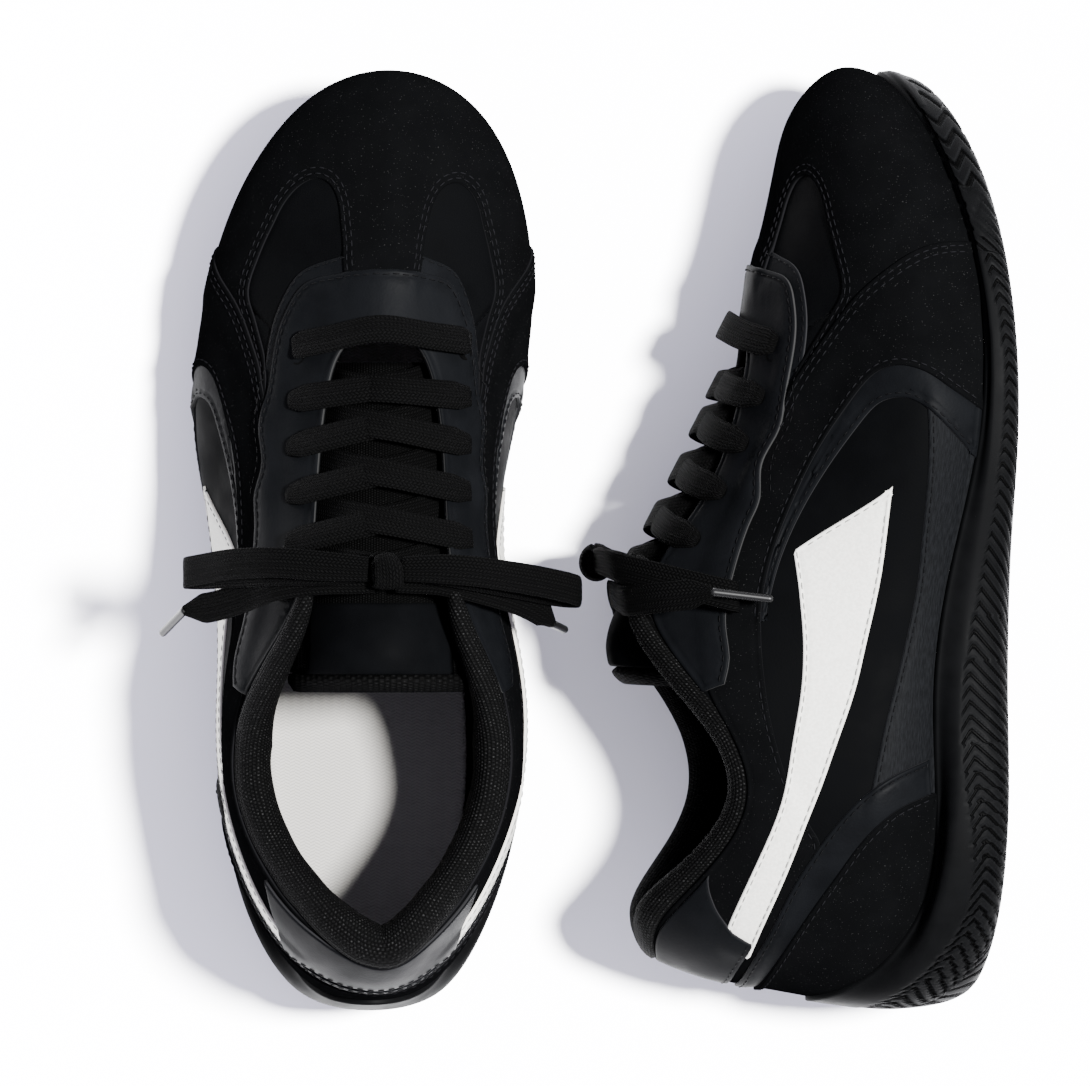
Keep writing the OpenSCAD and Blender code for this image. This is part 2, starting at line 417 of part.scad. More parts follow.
// Ends of the hard lace tips
TIPS_LEFT = [[-61.5,111.7,71.5], [58,113,71.5]];
TIPS_RIGHT = [[-51,121.8,72.5], [47.5,101.5,78]];
across = [0, 1, 0.15];
module bow(loops) color("#1c1c1f") {
    for (route = loops) ribbon(route, lace_w, lace_t, across);
    loft([for (g = [0 : 30 : 330]) [for (k = [-2 : 2]) let (r = cos(k * 34))
        KNOT + [4.3 * sin(k * 34), 4.8 * r * cos(g), 4.2 * r * sin(g)]]], true, true);
}
module lace_tails(routes) color("#1c1c1f") for (route = routes) ribbon(route, lace_w, lace_t, across);
module tip(from, to) {
    run = to - from;
    start = from + unit(run) * 0.3;
    translate(start) rotate([0, acos(run[2] / norm(run)), atan2(run[1], run[0])])
        cylinder(h = norm(run) - 0.3, r = tip_r, $fn = 24);
}
module aglets(routes, ends) color("#101012") for (i = [0, 1]) tip(routes[i][len(routes[i]) - 1], ends[i]);

// ---- one shoe ---------------------------------------------------------------------------------
module piece(name, right = false) {
    if (name == "outsole") outsole();
    if (name == "midsole") midsole();
    if (name == "insole") insole();
    if (name == "lining") lining();
    if (name == "heel_counter") heel_counter();
    if (name == "vamp") vamp();
    if (name == "quarter_lateral") quarter(12.85, 19.97);
    if (name == "quarter_medial") quarter(0.03, 7.15);
    if (name == "toe_cap") toe_cap();
    if (name == "side_overlay_lateral") side_overlay(false);
    if (name == "side_overlay_medial") side_overlay(true);
    if (name == "arch_trim_lateral") arch_trim(false);
    if (name == "arch_trim_medial") arch_trim(true);
    if (name == "rand_lateral") rand(false);
    if (name == "rand_medial") rand(true);
    if (name == "stripe_lateral") stripe(false);
    if (name == "stripe_medial") stripe(true);
    if (name == "heel_cover") heel_cover();
    if (name == "heel_trim") heel_trim();
    if (name == "heel_tab") heel_tab();
    if (name == "collar") collar();
    if (name == "eyestay_underlay") eyestay_underlay();
    if (name == "eyestay") eyestay();
    if (name == "tongue") tongue();
    if (name == "tongue_label") tongue_label();
    if (name == "tongue_binding") tongue_binding();
    if (name == "lace") lace();
    if (name == "bow") bow(right ? BOW_RIGHT : BOW_LEFT);
    if (name == "lace_tails") lace_tails(right ? TAILS_RIGHT : TAILS_LEFT);
    if (name == "aglets") aglets(right ? TAILS_RIGHT : TAILS_LEFT, right ? TIPS_RIGHT : TIPS_LEFT);
}

module stand_left() translate([left_x, heel_y, 0]) children();
module lay_right() translate([right_sole_x, heel_y, right_lift]) rotate([0, 0, lie_yaw])
    rotate([0, lie_tilt - 90, 0]) rotate([0, 0, lie_turn]) mirror([1, 0, 0]) children();

for (name = PIECES) {
    stand_left() piece(name);
    lay_right() piece(name, true);
}
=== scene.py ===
"""A pair of low-top lace-up sport shoes: the left one stands, the right one lies on its inner side.

Every soft piece is made once, in the left shoe's own frame in millimetres (heel at y = 0, toe towards +Y, inner
side at +X), and put into the row frame twice: as it is, and mirrored for the right shoe.
"""
import math

import bpy
import numpy as np
from mathutils.geometry import delaunay_2d_cdt
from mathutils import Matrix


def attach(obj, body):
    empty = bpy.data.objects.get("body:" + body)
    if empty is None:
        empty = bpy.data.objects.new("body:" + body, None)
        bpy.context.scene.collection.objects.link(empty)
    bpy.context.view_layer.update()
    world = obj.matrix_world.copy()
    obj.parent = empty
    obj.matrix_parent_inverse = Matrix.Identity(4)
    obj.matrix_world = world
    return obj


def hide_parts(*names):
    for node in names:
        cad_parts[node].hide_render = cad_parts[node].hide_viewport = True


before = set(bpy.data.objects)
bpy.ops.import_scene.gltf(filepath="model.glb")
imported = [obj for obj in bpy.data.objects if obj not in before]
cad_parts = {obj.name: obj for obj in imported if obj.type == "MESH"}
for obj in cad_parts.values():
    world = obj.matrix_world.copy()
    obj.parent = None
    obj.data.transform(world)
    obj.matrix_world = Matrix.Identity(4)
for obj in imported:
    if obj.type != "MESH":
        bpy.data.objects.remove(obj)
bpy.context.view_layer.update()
MM = 0.001
SIDES = ("left", "right")

# ---- where the two shoes are -------------------------------------------------------------------------------
LEFT_X, HEEL_Y = -68.9, -139.7
RIGHT_SOLE_X, RIGHT_LIFT = 116.7, 43.0
LIE_TILT, LIE_TURN, LIE_YAW = 3.89, -1.03, -1.1


def turned(axis, degrees):
    """Rotation matrix about a main axis (0, 1 or 2)."""
    a = math.radians(degrees)
    i, j = (axis + 1) % 3, (axis + 2) % 3
    m = np.eye(3)
    m[i, i] = m[j, j] = math.cos(a)
    m[j, i] = math.sin(a)
    m[i, j] = -math.sin(a)
    return m


LYING = turned(2, LIE_YAW) @ turned(1, LIE_TILT - 90) @ turned(2, LIE_TURN) @ np.diag([-1.0, 1.0, 1.0])
PLACE = {
    "left": (np.eye(3), np.array([LEFT_X, HEEL_Y, 0.0])),
    "right": (LYING, np.array([RIGHT_SOLE_X, HEEL_Y, RIGHT_LIFT])),
}


def placed(points, side):
    """Points of the left shoe's frame in millimetres, put into the row frame in metres."""
    m, t = PLACE[side]
    return (np.asarray(points, float) @ m.T + t) * MM


# ---- camera, floor and light -------------------------------------------------------------------------------
VIEW_CENTRE = (-16.9, -1.0)
VIEW_WIDTH = 323.7
VIEW_LEVEL = 45.0
LENS, SENSOR = 800.0, 36.0


def link(obj):
    bpy.context.scene.collection.objects.link(obj)
    return obj


def add_camera():
    data = bpy.data.cameras.new("camera")
    data.lens, data.sensor_width = LENS, SENSOR
    data.clip_end = 100.0
    camera = link(bpy.data.objects.new("camera", data))
    high = VIEW_WIDTH * LENS / SENSOR + VIEW_LEVEL
    camera.location = (VIEW_CENTRE[0] * MM, VIEW_CENTRE[1] * MM, high * MM)
    bpy.context.scene.camera = camera


add_camera()


# ---- the outer surface of the upper ------------------------------------------------------------------------
# Six rings of twenty stations, from the sole line (ring 0) to the edge of the opening (ring 5). Station 0 is
# the middle of the heel, 1 to 9 run along the inner side, 10 is the toe and 11 to 19 the outer side.
SOLE_LINE = [(0, 14, 24), (15, 18, 23), (27, 34, 22), (33, 66, 21), (32, 100, 20), (30, 134, 17),
             (35, 168, 12), (41, 204, 11), (38, 238, 17), (24, 260, 23), (6, 267, 25), (-14, 260, 23),
             (-32, 238, 17), (-44, 204, 11), (-45, 168, 12), (-40, 134, 17), (-36, 100, 20), (-35, 66, 21),
             (-27, 34, 22), (-15, 18, 23)]
LOW = [(0, 4, 44), (18, 9, 40), (33, 30, 38), (42, 64, 36), (44, 98, 34), (37, 134, 32), (41.5, 170, 26),
       (48, 207, 25), (43.5, 243, 33), (30, 268, 42), (8, 278, 45), (-17, 271, 42), (-38, 243, 33),
       (-49, 207, 25), (-52, 170, 25), (-45.5, 134, 31), (-43.5, 98, 34), (-44, 64, 36), (-33, 30, 38),
       (-18, 9, 40)]
MIDDLE = [(0, 5, 60), (18, 11, 58), (33, 31, 56), (44, 64, 53), (45.5, 98, 53), (38.5, 134, 50),
          (41, 170, 41), (45, 206, 39), (42.5, 240, 47), (30, 264, 54), (8, 275, 57), (-17, 266, 54),
          (-37, 240, 47), (-47, 206, 38), (-50, 170, 38), (-44.5, 134, 47), (-44, 98, 52), (-44, 64, 53),
          (-33, 31, 56), (-18, 11, 58)]
SHOULDER = [(2, 7, 75), (18, 14, 75), (32, 33, 72), (44, 64, 66), (45, 98, 70), (37, 134, 70), (38, 169, 57),
            (38, 203, 54), (34, 232, 58), (24, 250, 64), (7, 262, 67), (-12, 252, 63), (-30, 232, 56),
            (-38, 203, 51), (-42, 169, 54), (-39, 134, 66), (-43, 98, 69), (-42, 64, 65), (-32, 33, 72),
            (-17, 14, 75)]
HIGH = [(3, 10, 89), (17, 18, 90), (31, 35, 86), (42, 63, 76), (43, 96, 84), (34, 128, 92), (31, 160, 76),
        (29, 192, 70), (24, 216, 68), (15, 232, 70), (6, 240, 71), (-6, 232, 70), (-19, 216, 66),
        (-26, 192, 68), (-29, 160, 76), (-32, 128, 86), (-41, 96, 81), (-41, 63, 71), (-30, 35, 85),
        (-16, 18, 90)]
EDGE = [(4, 14.5, 101), (17, 23, 104), (29, 37, 97), (40.5, 62, 84), (40, 93, 93), (26, 120, 111),
        (22.5, 148, 92), (21, 172, 83), (17, 191, 79), (11, 198, 79.5), (3.7, 200, 80), (-4, 198, 79.5),
        (-10, 191, 78.5), (-13.4, 172, 83), (-15.5, 148, 91), (-19, 120, 110), (-37, 92, 90), (-39, 63, 77),
        (-27, 38, 92), (-13, 24, 104)]
STATIONS, TOP = 20, 5


def tight(ring):
    """Control points whose smooth closed curve passes close to the ring's own points."""
    ring = np.asarray(ring, float)
    return ring - (np.roll(ring, 1, 0) - 2 * ring + np.roll(ring, -1, 0)) / 6


def with_ends(rows):
    return np.concatenate([2 * rows[:1] - rows[1:2], rows, 2 * rows[-1:] - rows[-2:-1]])


def make_net():
    rows = with_ends(np.array([tight(r) for r in (SOLE_LINE, LOW, MIDDLE, SHOULDER, HIGH, EDGE)]))
    inner = rows[1:-1] - (rows[:-2] - 2 * rows[1:-1] + rows[2:]) / 6
    return with_ends(inner)


NET = make_net()


def weights(f):
    """Shares of four neighbouring control points in a smooth curve, f of the way from the second to the third."""
    return np.stack([(1 - f) ** 3, 3 * f ** 3 - 6 * f ** 2 + 4,
                     -3 * f ** 3 + 3 * f ** 2 + 3 * f + 1, f ** 3]) / 6


def surf(s, t):
    """Point of the upper: s counts stations round the shoe, t counts rings upwards."""
    s, t = np.broadcast_arrays(np.asarray(s, float), np.clip(np.asarray(t, float), 0, TOP))
    i = np.floor(s).astype(int)
    j = np.minimum(np.floor(t).astype(int), TOP - 1)
    ws, wt = weights(s - i), weights(t - j)
    point = np.zeros(s.shape + (3,))
    for a in range(4):
        for b in range(4):
            point += (wt[a] * ws[b])[..., None] * NET[j + a, (i - 1 + b) % STATIONS]
    return point


def unit(v):
    return v / np.maximum(np.linalg.norm(v, axis=-1, keepdims=True), 1e-12)


def running(points):
    """Length along a row of points, up to each point."""
    return np.concatenate([[0], np.cumsum(np.linalg.norm(np.diff(points, axis=0), axis=1))])


def running_rows(rows):
    """The same for every column of a stack of rows."""
    steps = np.linalg.norm(np.diff(rows, axis=0), axis=2)
    return np.concatenate([np.zeros((1, rows.shape[1])), np.cumsum(steps, 0)])


def circle(n):
    return np.linspace(0, 2 * math.pi, n, endpoint=False)


def frame_at(s, t):
    """Point, the two surface directions and the outward normal."""
    e = 0.03
    s, t = np.asarray(s, float), np.clip(np.asarray(t, float), 0, TOP)
    du = (surf(s + e, t) - surf(s - e, t)) / (2 * e)
    high, low = np.minimum(t + e, TOP), np.maximum(t - e, 0)
    dv = (surf(s, high) - surf(s, low)) / (high - low)[..., None]
    return surf(s, t), du, dv, unit(np.cross(du, dv))


def raised(s, t, d):
    p, _, _, n = frame_at(s, t)
    return p + n * np.asarray(d, float)[..., None]


# How far up the rubber's edge lies at each station, in rings
LIP = [1.85, 1.1, 0.1, 0.12, 0.3, 0.2, 0.08, 0.05, 0.12, 0.35,
       0.85, 0.35, 0.12, 0.05, 0.08, 0.2, 0.3, 0.12, 0.1, 1.1]


def closed(ring, s):
    """Smooth closed curve through a ring of stations, at s."""
    ring, s = tight(np.asarray(ring, float)), np.asarray(s, float)
    i = np.floor(s).astype(int)
    w = weights(s - i)
    shape = (lambda k: w[k][..., None]) if ring.ndim > 1 else (lambda k: w[k])
    return sum(shape(k) * ring[(i - 1 + k) % STATIONS] for k in range(4))


def lip_level(s):
    return np.maximum(closed(LIP, s), 0.03)


# ---- height of the sewn layers above the upper -------------------------------------------------------------
GRID_S, GRID_T = 800, 250
height = np.zeros((GRID_S, GRID_T))
cell_s = (np.arange(GRID_S) + 0.5) * STATIONS / GRID_S
cell_t = (np.arange(GRID_T) + 0.5) * TOP / GRID_T


def sample(field, s, t):
    x = np.asarray(s, float) * GRID_S / STATIONS - 0.5
    y = np.clip(np.asarray(t, float) * GRID_T / TOP - 0.5, 0, GRID_T - 1.001)
    i, j = np.floor(x).astype(int), np.floor(y).astype(int)
    f, g = x - i, y - j
    i0, i1 = i % GRID_S, (i + 1) % GRID_S
    low = field[i0, j] * (1 - f) + field[i1, j] * f
    return low * (1 - g) + (field[i0, j + 1] * (1 - f) + field[i1, j + 1] * f) * g


def blurred(field, cells):
    reach = int(3 * cells)
    k = np.exp(-0.5 * (np.arange(-reach, reach + 1) / cells) ** 2)
    k /= k.sum()
    out = sum(w * np.roll(field, d, 0) for w, d in zip(k, range(-reach, reach + 1)))
    wide = np.pad(out, ((0, 0), (reach, reach)), mode="edge")
    return sum(w * wide[:, d:d + GRID_T] for w, d in zip(k, range(2 * reach + 1)))


def inside(loop, s, t):
    """Even-odd test of points against a closed outline."""
    s, t = np.asarray(s, float), np.asarray(t, float)
    result = np.zeros(np.broadcast(s, t).shape, bool)
    for (x0, y0), (x1, y1) in zip(loop, np.roll(loop, -1, 0)):
        if y0 == y1:
            continue
        crosses = ((y0 > t) != (y1 > t)) & (s < (x1 - x0) * (t - y0) / (y1 - y0) + x0)
        result ^= crosses
    return result


def cells_inside(loop):
    found = np.zeros((GRID_S, GRID_T), bool)
    for lap in (-STATIONS, 0, STATIONS):
        s = cell_s + lap
        rows = np.nonzero((s > loop[:, 0].min()) & (s < loop[:, 0].max()))[0]
        if len(rows):
            found[rows] |= inside(loop, s[rows, None], cell_t[None, :])
    return found


# ---- curves ------------------------------------------------------------------------------------------------
def spline(p, step):
    """Catmull-Rom curve from the second point of p to the last but one; the points may have any shape."""
    out = []
    for a, b, c, d in zip(p, p[1:], p[2:], p[3:]):
        for k in range(step):
            f = k / step
            out.append(0.5 * (2 * b + (c - a) * f + (2 * a - 5 * b + 4 * c - d) * f * f
                              + (3 * b - a - 3 * c + d) * f ** 3))
    return np.array(out + [p[-2]])


def smooth(points, step=4):
    p = np.asarray(points, float)
    return spline(np.concatenate([p[:1], p, p[-1:]]), step)


def respaced(points, step):
    """The same open curve with points a fixed distance apart, and that distance's running length."""
    p = np.asarray(points, float)
    run = running(p)
    n = max(int(round(run[-1] / step)), 2)
    at = np.linspace(0, run[-1], n + 1)
    return np.stack([np.interp(at, run, p[:, k]) for k in range(p.shape[1])], 1), at


def respaced_on(points, step):
    """A curve of (s, t) with points a fixed distance apart on the surface, in millimetres."""
    q = np.asarray(points, float)
    p = surf(q[:, 0], q[:, 1])
    run = running(p)
    n = max(int(round(run[-1] / step)), 2)
    at = np.linspace(0, run[-1], n + 1)
    return np.stack([np.interp(at, run, q[:, k]) for k in range(2)], 1)


def mirrored(points):
    return [(STATIONS - s, t) for s, t in reversed(list(points))]


# ---- meshes ------------------------------------------------------------------------------------------------
def add_mesh(name, points, faces, body, slot, nodes=(), marks=None, uv=None, sides=SIDES):
    """One mesh for each shoe. marks gives each face's material, slot the materials; the second item of slot is
    not used.
    """
    made = []
    for side in sides:
        mesh = bpy.data.meshes.new(f"{side}_{name}")
        mesh.from_pydata(placed(points, side).tolist(), [],
                         [list(reversed(f)) if side == "right" else list(f) for f in faces])
        mesh.polygons.foreach_set("use_smooth", [True] * len(mesh.polygons))
        if marks is not None:
            mesh.polygons.foreach_set("material_index", np.asarray(marks, np.int32))
        if uv is not None:
            layer = mesh.uv_layers.new(name="run")
            corners = np.zeros(len(mesh.loops), np.int32)
            mesh.loops.foreach_get("vertex_index", corners)
            layer.data.foreach_set("uv", np.asarray(uv, float)[corners].ravel())
        mesh.update()
        obj = link(bpy.data.objects.new(f"{side}_{name}", mesh))
        for material in slot[0]:
            obj.data.materials.append(MATERIALS[material])
        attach(obj, f"{side}_{body}")
        if nodes:
            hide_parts(*[f"{side}_{node}" for node in nodes])
        made.append(obj)
    return made


def grid_faces(rows, columns, around=False, ends=False):
    """Quads of a grid of points, row by row."""
    faces = []
    last = columns if around else columns - 1
    for i in range(rows - 1):
        for k in range(last):
            a, b = i * columns + k, i * columns + (k + 1) % columns
            faces.append((a, b, b + columns, a + columns))
    if ends:
        faces.append(tuple(range(columns - 1, -1, -1)))
        faces.append(tuple((rows - 1) * columns + k for k in range(columns)))
    return faces


def moved(q, way, distance, du, dv):
    """Points of (s, t) moved over the surface by millimetres, each its own way in space."""
    a, b, c = (du * du).sum(1), (du * dv).sum(1), (dv * dv).sum(1)
    x, y = (way * du).sum(1), (way * dv).sum(1)
    det = a * c - b * b
    return q + distance * np.stack([(c * x - b * y) / det, (a * y - b * x) / det], 1)


def closing_faces(row, columns, turn):
    """Faces that close a ring of the grid straight across, between its two sides."""
    faces = []
    for i in range(columns // 2):
        face = [row * columns + k for k in (i, i + 1, columns - i - 1, (columns - i) % columns)]
        face = [k for j, k in enumerate(face) if k not in face[:j]]
        if len(face) > 2:
            faces.append(tuple(reversed(face)) if turn else tuple(face))
    return faces


def inset(loop, distance):
    """A closed outline of (s, t), counter-clockwise, moved inwards."""
    _, du, dv, n = frame_at(loop[:, 0], loop[:, 1])
    ahead = np.roll(loop, -1, 0) - loop
    back = loop - np.roll(loop, 1, 0)

    def direction(step):
        return unit(step[:, :1] * du + step[:, 1:] * dv)
    inwards = unit(np.cross(n, direction(ahead)) + np.cross(n, direction(back)))
    return moved(loop, inwards, distance, du, dv)


MESH_STEP, EDGE_SPACING = 2.2, 1.6
SPAN = 26.0, 20.0  # about how many millimetres a station and a ring take up
EDGE_SINK = 0.45  # how far the cut edge goes into the layer below
EDGE_CLEAR = 1.1 + 0.6 * MESH_STEP  # how far from the edge the inner points begin
# Rings of points along the edge: distance from it, share of the thickness (-1 is the edge itself), and dent
EDGE_STEPS = ((0, -1.0, 0.0), (0.16, 0.62, 0.0), (0.45, 1.0, 0.0), (1.1, 1.0, 0.0))
DENT_HALF, DENT_DEEP = 0.75, 0.28
loops_of = {}


def filling(loop):
    """Points (s, t) inside an outline and clear of its edge, in rows like bricks."""
    low, high = loop.min(0), loop.max(0)
    step_s, step_t = MESH_STEP / SPAN[0], MESH_STEP / SPAN[1]
    rows = np.meshgrid(np.arange(low[0], high[0], step_s), np.arange(low[1], high[1], step_t))
    gs, gt = [g.ravel() for g in rows]
    gs = gs + 0.5 * step_s * (np.round((gt - low[1]) / step_t) % 2)
    keep = inside(loop, gs, gt)
    q = np.stack([gs[keep], gt[keep]], 1)
    edge = surf(loop[:, 0], loop[:, 1])
    near = [np.min(((edge - p) ** 2).sum(1)) > EDGE_CLEAR ** 2 for p in surf(q[:, 0], q[:, 1])]
    return q[np.array(near, bool)]


def panel(name, outline, thick, slot, nodes=(), soften=2.0, dent=None):
    """A leather or suede panel, draped over the layers already sewn on, with a cut edge all round.

    dent is how far from the edge a row of stitches presses the panel in.
    """
    global height
    loop = respaced_on(list(outline) + [outline[0]], EDGE_SPACING)[:-1]
    area = 0.5 * np.sum(loop[:, 0] * np.roll(loop[:, 1], -1) - np.roll(loop[:, 0], -1) * loop[:, 1])
    if area < 0:
        loop = loop[::-1]
    loops_of[name] = loop
    base = blurred(height, soften)
    steps = list(EDGE_STEPS)
    if dent:
        steps += [(dent + d, 1.0, deep) for d, deep in ((-DENT_HALF, 0.0), (0, DENT_DEEP), (DENT_HALF, 0.0))]
    middle = filling(loop)
    n = len(loop)
    q = np.concatenate([loop] + [inset(loop, d) for d, _, _ in steps[1:]] + [middle])
    level = np.concatenate([np.full(n, k) for _, k, _ in steps] + [np.ones(len(middle))])
    deep = np.concatenate([np.full(n, d) for _, _, d in steps] + [np.zeros(len(middle))])
    flat = [(a * SPAN[0], b * SPAN[1]) for a, b in q]
    edges = [(k * n + i, k * n + (i + 1) % n) for k in range(1, len(steps)) for i in range(n)]
    out = delaunay_2d_cdt(flat, edges, [list(range(n))], 1, 1e-6)
    verts = np.array([(v[0] / SPAN[0], v[1] / SPAN[1]) for v in out[0]])
    source = np.array([o[0] if o else -1 for o in out[3]])
    level = np.where(source >= 0, level[source], 1.0)
    deep = np.where(source >= 0, deep[source], 0.0)
    rim = (source >= 0) & (source < n)
    s, t = verts.T
    under, cover = sample(height, s, t), sample(base, s, t)
    bottom = np.minimum(under, cover) - EDGE_SINK
    upper = raised(s, t, np.where(rim, bottom, cover + thick * np.maximum(level, 0) - deep))
    lower = raised(s, t, bottom)
    faces = [tuple(f) for f in out[2]]
    back = np.arange(len(verts)) + len(verts)
    back[rim] = np.nonzero(rim)[0]
    both = faces + [tuple(int(back[k]) for k in reversed(f)) for f in faces]
    ring = level < 0.99
    marks = [1 if all(ring[k] for k in f) else 0 for f in faces] + [0] * len(faces)
    used = np.zeros(2 * len(verts), bool)
    used[np.unique([k for f in both for k in f])] = True
    number = np.cumsum(used) - 1
    both = [tuple(int(number[k]) for k in f) for f in both]
    uv = np.concatenate([verts, verts])[used] * np.array(SPAN) * MM
    height = np.where(cells_inside(loop), base + thick, height)
    add_mesh(name, np.concatenate([upper, lower])[used], both, "shoe", slot, nodes, marks, uv)


# ---- materials ---------------------------------------------------------------------------------------------
MATERIALS = {}


class Shader:
    """A Principled material and short ways to add nodes to it."""

    def __init__(self, name):
        self.material = bpy.data.materials.new(name)
        self.material.use_nodes = True
        self.tree = self.material.node_tree
        self.out = self.tree.nodes["Principled BSDF"]
        self.coords = self.tree.nodes.new("ShaderNodeTexCoord")
        MATERIALS[name] = self.material

    def plug(self, socket, value):
        if isinstance(value, bpy.types.NodeSocket):
            self.tree.links.new(value, socket)
        elif isinstance(value, (tuple, list)) and len(value) == 3 and len(socket.default_value) == 4:
            socket.default_value = (*value, 1.0)
        else:
            socket.default_value = value

    def math(self, kind, a, b=0.0, c=None):
        node = self.tree.nodes.new("ShaderNodeMath")
        node.operation = kind
        self.plug(node.inputs[0], a)
        self.plug(node.inputs[1], b)
        if c is not None:
            self.plug(node.inputs[2], c)
        return node.outputs[0]

    def times(self, a, b):
        return self.math("MULTIPLY", a, b)

    def plus(self, a, b):
        return self.math("ADD", a, b)

    def minus(self, a, b):
        return self.math("SUBTRACT", a, b)

    def size(self, a):
        return self.math("ABSOLUTE", a)

    def wave(self, a):
        """A row of humps, one for each whole number of a."""
        return self.size(self.math("SINE", self.times(a, math.pi)))

    def lean(self, lane):
        """-1 and 1 by turns, from lane to lane."""
        return self.minus(self.times(self.math("MODULO", lane, 2.0), 2.0), 1.0)

    def space(self, stretch=(1, 1, 1), run=False):
        """Object space, or the piece's own running lengths, stretched."""
        node = self.tree.nodes.new("ShaderNodeMapping")
        self.tree.links.new(self.coords.outputs["UV" if run else "Object"], node.inputs["Vector"])
        node.inputs["Scale"].default_value = stretch
        return node.outputs[0]

    def noise(self, size, detail=3.0, rough=0.55, space=None):
        """Noise whose lumps are about size millimetres across."""
        node = self.tree.nodes.new("ShaderNodeTexNoise")
        self.tree.links.new(space or self.space(), node.inputs["Vector"])
        self.plug(node.inputs["Scale"], 1.0 / (size * MM))
        self.plug(node.inputs["Detail"], detail)
        self.plug(node.inputs["Roughness"], rough)
        return node.outputs["Fac"]

    def cells(self, size, feature="F1", space=None):
        node = self.tree.nodes.new("ShaderNodeTexVoronoi")
        node.feature = feature
        self.tree.links.new(space or self.space(), node.inputs["Vector"])
        self.plug(node.inputs["Scale"], 1.0 / (size * MM))
        return node.outputs["Distance"]

    def fit(self, value, low, high, to_low=0.0, to_high=1.0):
        node = self.tree.nodes.new("ShaderNodeMapRange")
        node.interpolation_type = "SMOOTHSTEP"
        for socket, x in zip(node.inputs[:5], (value, low, high, to_low, to_high)):
            self.plug(socket, x)
        return node.outputs[0]

    def mix(self, amount, a, b):
        node = self.tree.nodes.new("ShaderNodeMix")
        node.data_type = "RGBA"
        self.plug(node.inputs["Factor"], amount)
        self.plug(node.inputs[6], a)
        self.plug(node.inputs[7], b)
        return node.outputs[2]

    def split(self, vector):
        node = self.tree.nodes.new("ShaderNodeSeparateXYZ")
        self.tree.links.new(vector, node.inputs[0])
        return node.outputs

    def bump(self, level, depth, strength=1.0):
        """Adds relief of so many millimetres on top of what is there."""
        node = self.tree.nodes.new("ShaderNodeBump")
        self.plug(node.inputs["Height"], level)
        node.inputs["Distance"].default_value = depth * MM
        node.inputs["Strength"].default_value = strength
        normal = self.out.inputs["Normal"]
        if normal.is_linked:
            self.tree.links.new(normal.links[0].from_socket, node.inputs["Normal"])
        self.tree.links.new(node.outputs[0], normal)

    def finish(self, color, rough, specular, sheen=0.0):
        self.plug(self.out.inputs["Base Color"], color)
        self.plug(self.out.inputs["Roughness"], rough)
        self.out.inputs["Specular IOR Level"].default_value = specular
        self.out.inputs["Sheen Weight"].default_value = sheen


def gray(value, blue=0.0):
    return (value * (1 - blue), value * (1 - blue / 3), value * (1 + blue))


def make_suede(name, base, speck):
    m = Shader(name)
    nap = m.noise(0.35, 3, 0.7)
    cloud = m.noise(9, 3, 0.5)
    tone = m.mix(m.fit(cloud, 0.35, 0.7), gray(base * 0.9, 0.06), gray(base * 1.08, 0.06))
    tone = m.mix(m.fit(nap, 0.62, 0.8, 0.0, 0.8), tone, gray(base * 3.0))
    dust = m.noise(0.42, 0.0, 0.5)
    tone = m.mix(m.fit(dust, 0.77, 0.83), tone, gray(speck))
    m.bump(nap, 0.12, 0.5)
    m.finish(tone, 0.95, 0.0)


def make_leather(name, base, rough, blue=0.12, pebble=0.9, relief=0.05, spec=0.008):
    m = Shader(name)
    grain = m.cells(pebble)
    fine = m.noise(0.5, 4, 0.6)
    cloud = m.noise(14, 3, 0.5)
    tone = m.mix(m.fit(cloud, 0.3, 0.7), gray(base * 0.85, blue), gray(base * 1.2, blue))
    tone = m.mix(m.fit(fine, 0.68, 0.9, 0, 0.5), tone, gray(base * 1.9, blue))
    m.bump(grain, relief, 0.5)
    m.bump(fine, relief, 0.35)
    m.bump(m.noise(22, 3, 0.5), 0.5, 0.35)
    m.finish(tone, m.fit(cloud, 0.3, 0.7, rough * 0.88, rough * 1.12), spec)


def make_lined(name, base, rough):
    """Leather whose grain runs in short fine lines."""
    m = Shader(name)
    lines = m.noise(0.5, 3, 0.6, m.space((0.22, 1.0, 1.0), True))
    tone = m.mix(m.fit(lines, 0.35, 0.7), gray(base * 0.7, 0.1), gray(base * 1.5, 0.1))
    m.bump(lines, 0.16, 0.7)
    m.finish(tone, rough, 0.008)


def make_rubber(name, base, rough):
    """Moulded rubber. On the sole u counts the ribs and v says where they are."""
    m = Shader(name)
    cloud = m.noise(11, 3, 0.55)
    fine = m.noise(0.3, 2, 0.6)
    u, v, _ = m.split(m.space((1, 1, 1), True))
    rib = m.size(m.minus(m.math("FRACT", u), 0.5))
    line = m.size(m.minus(m.math("FRACT", m.plus(u, 0.2)), 0.5))
    groove = m.times(m.fit(rib, 0.05, 0.17, 1.0, 0.0), v)
    crease = m.times(m.fit(line, 0.0, 0.05, 1.0, 0.0), v)
    # painted highlight: a band along each rib's edge, coloured lighter below
    crest = m.times(m.fit(rib, 0.17, 0.24, 0.0, 1.0), m.times(m.fit(rib, 0.24, 0.36, 1.0, 0.0), v))
    tone = m.mix(m.fit(cloud, 0.3, 0.7), gray(base * 0.85, 0.06), gray(base * 1.2, 0.06))
    tone = m.mix(m.fit(fine, 0.66, 0.9, 0, 0.4), tone, gray(base * 2))
    # painted highlight along the rib edges
    tone = m.mix(crest, tone, gray(base * 1.9, 0.06))
    # painted shade: the grooves and the thin creases are coloured much darker than the rubber
    tone = m.mix(m.math("MAXIMUM", groove, m.times(crease, 0.6)), tone, gray(base * 0.12))
    m.bump(fine, 0.05, 0.4)
    m.bump(m.plus(groove, m.times(crease, 0.4)), -0.7, 0.9)
    m.finish(tone, m.fit(cloud, 0.3, 0.7, rough * 0.9, rough * 1.1), 0.007)


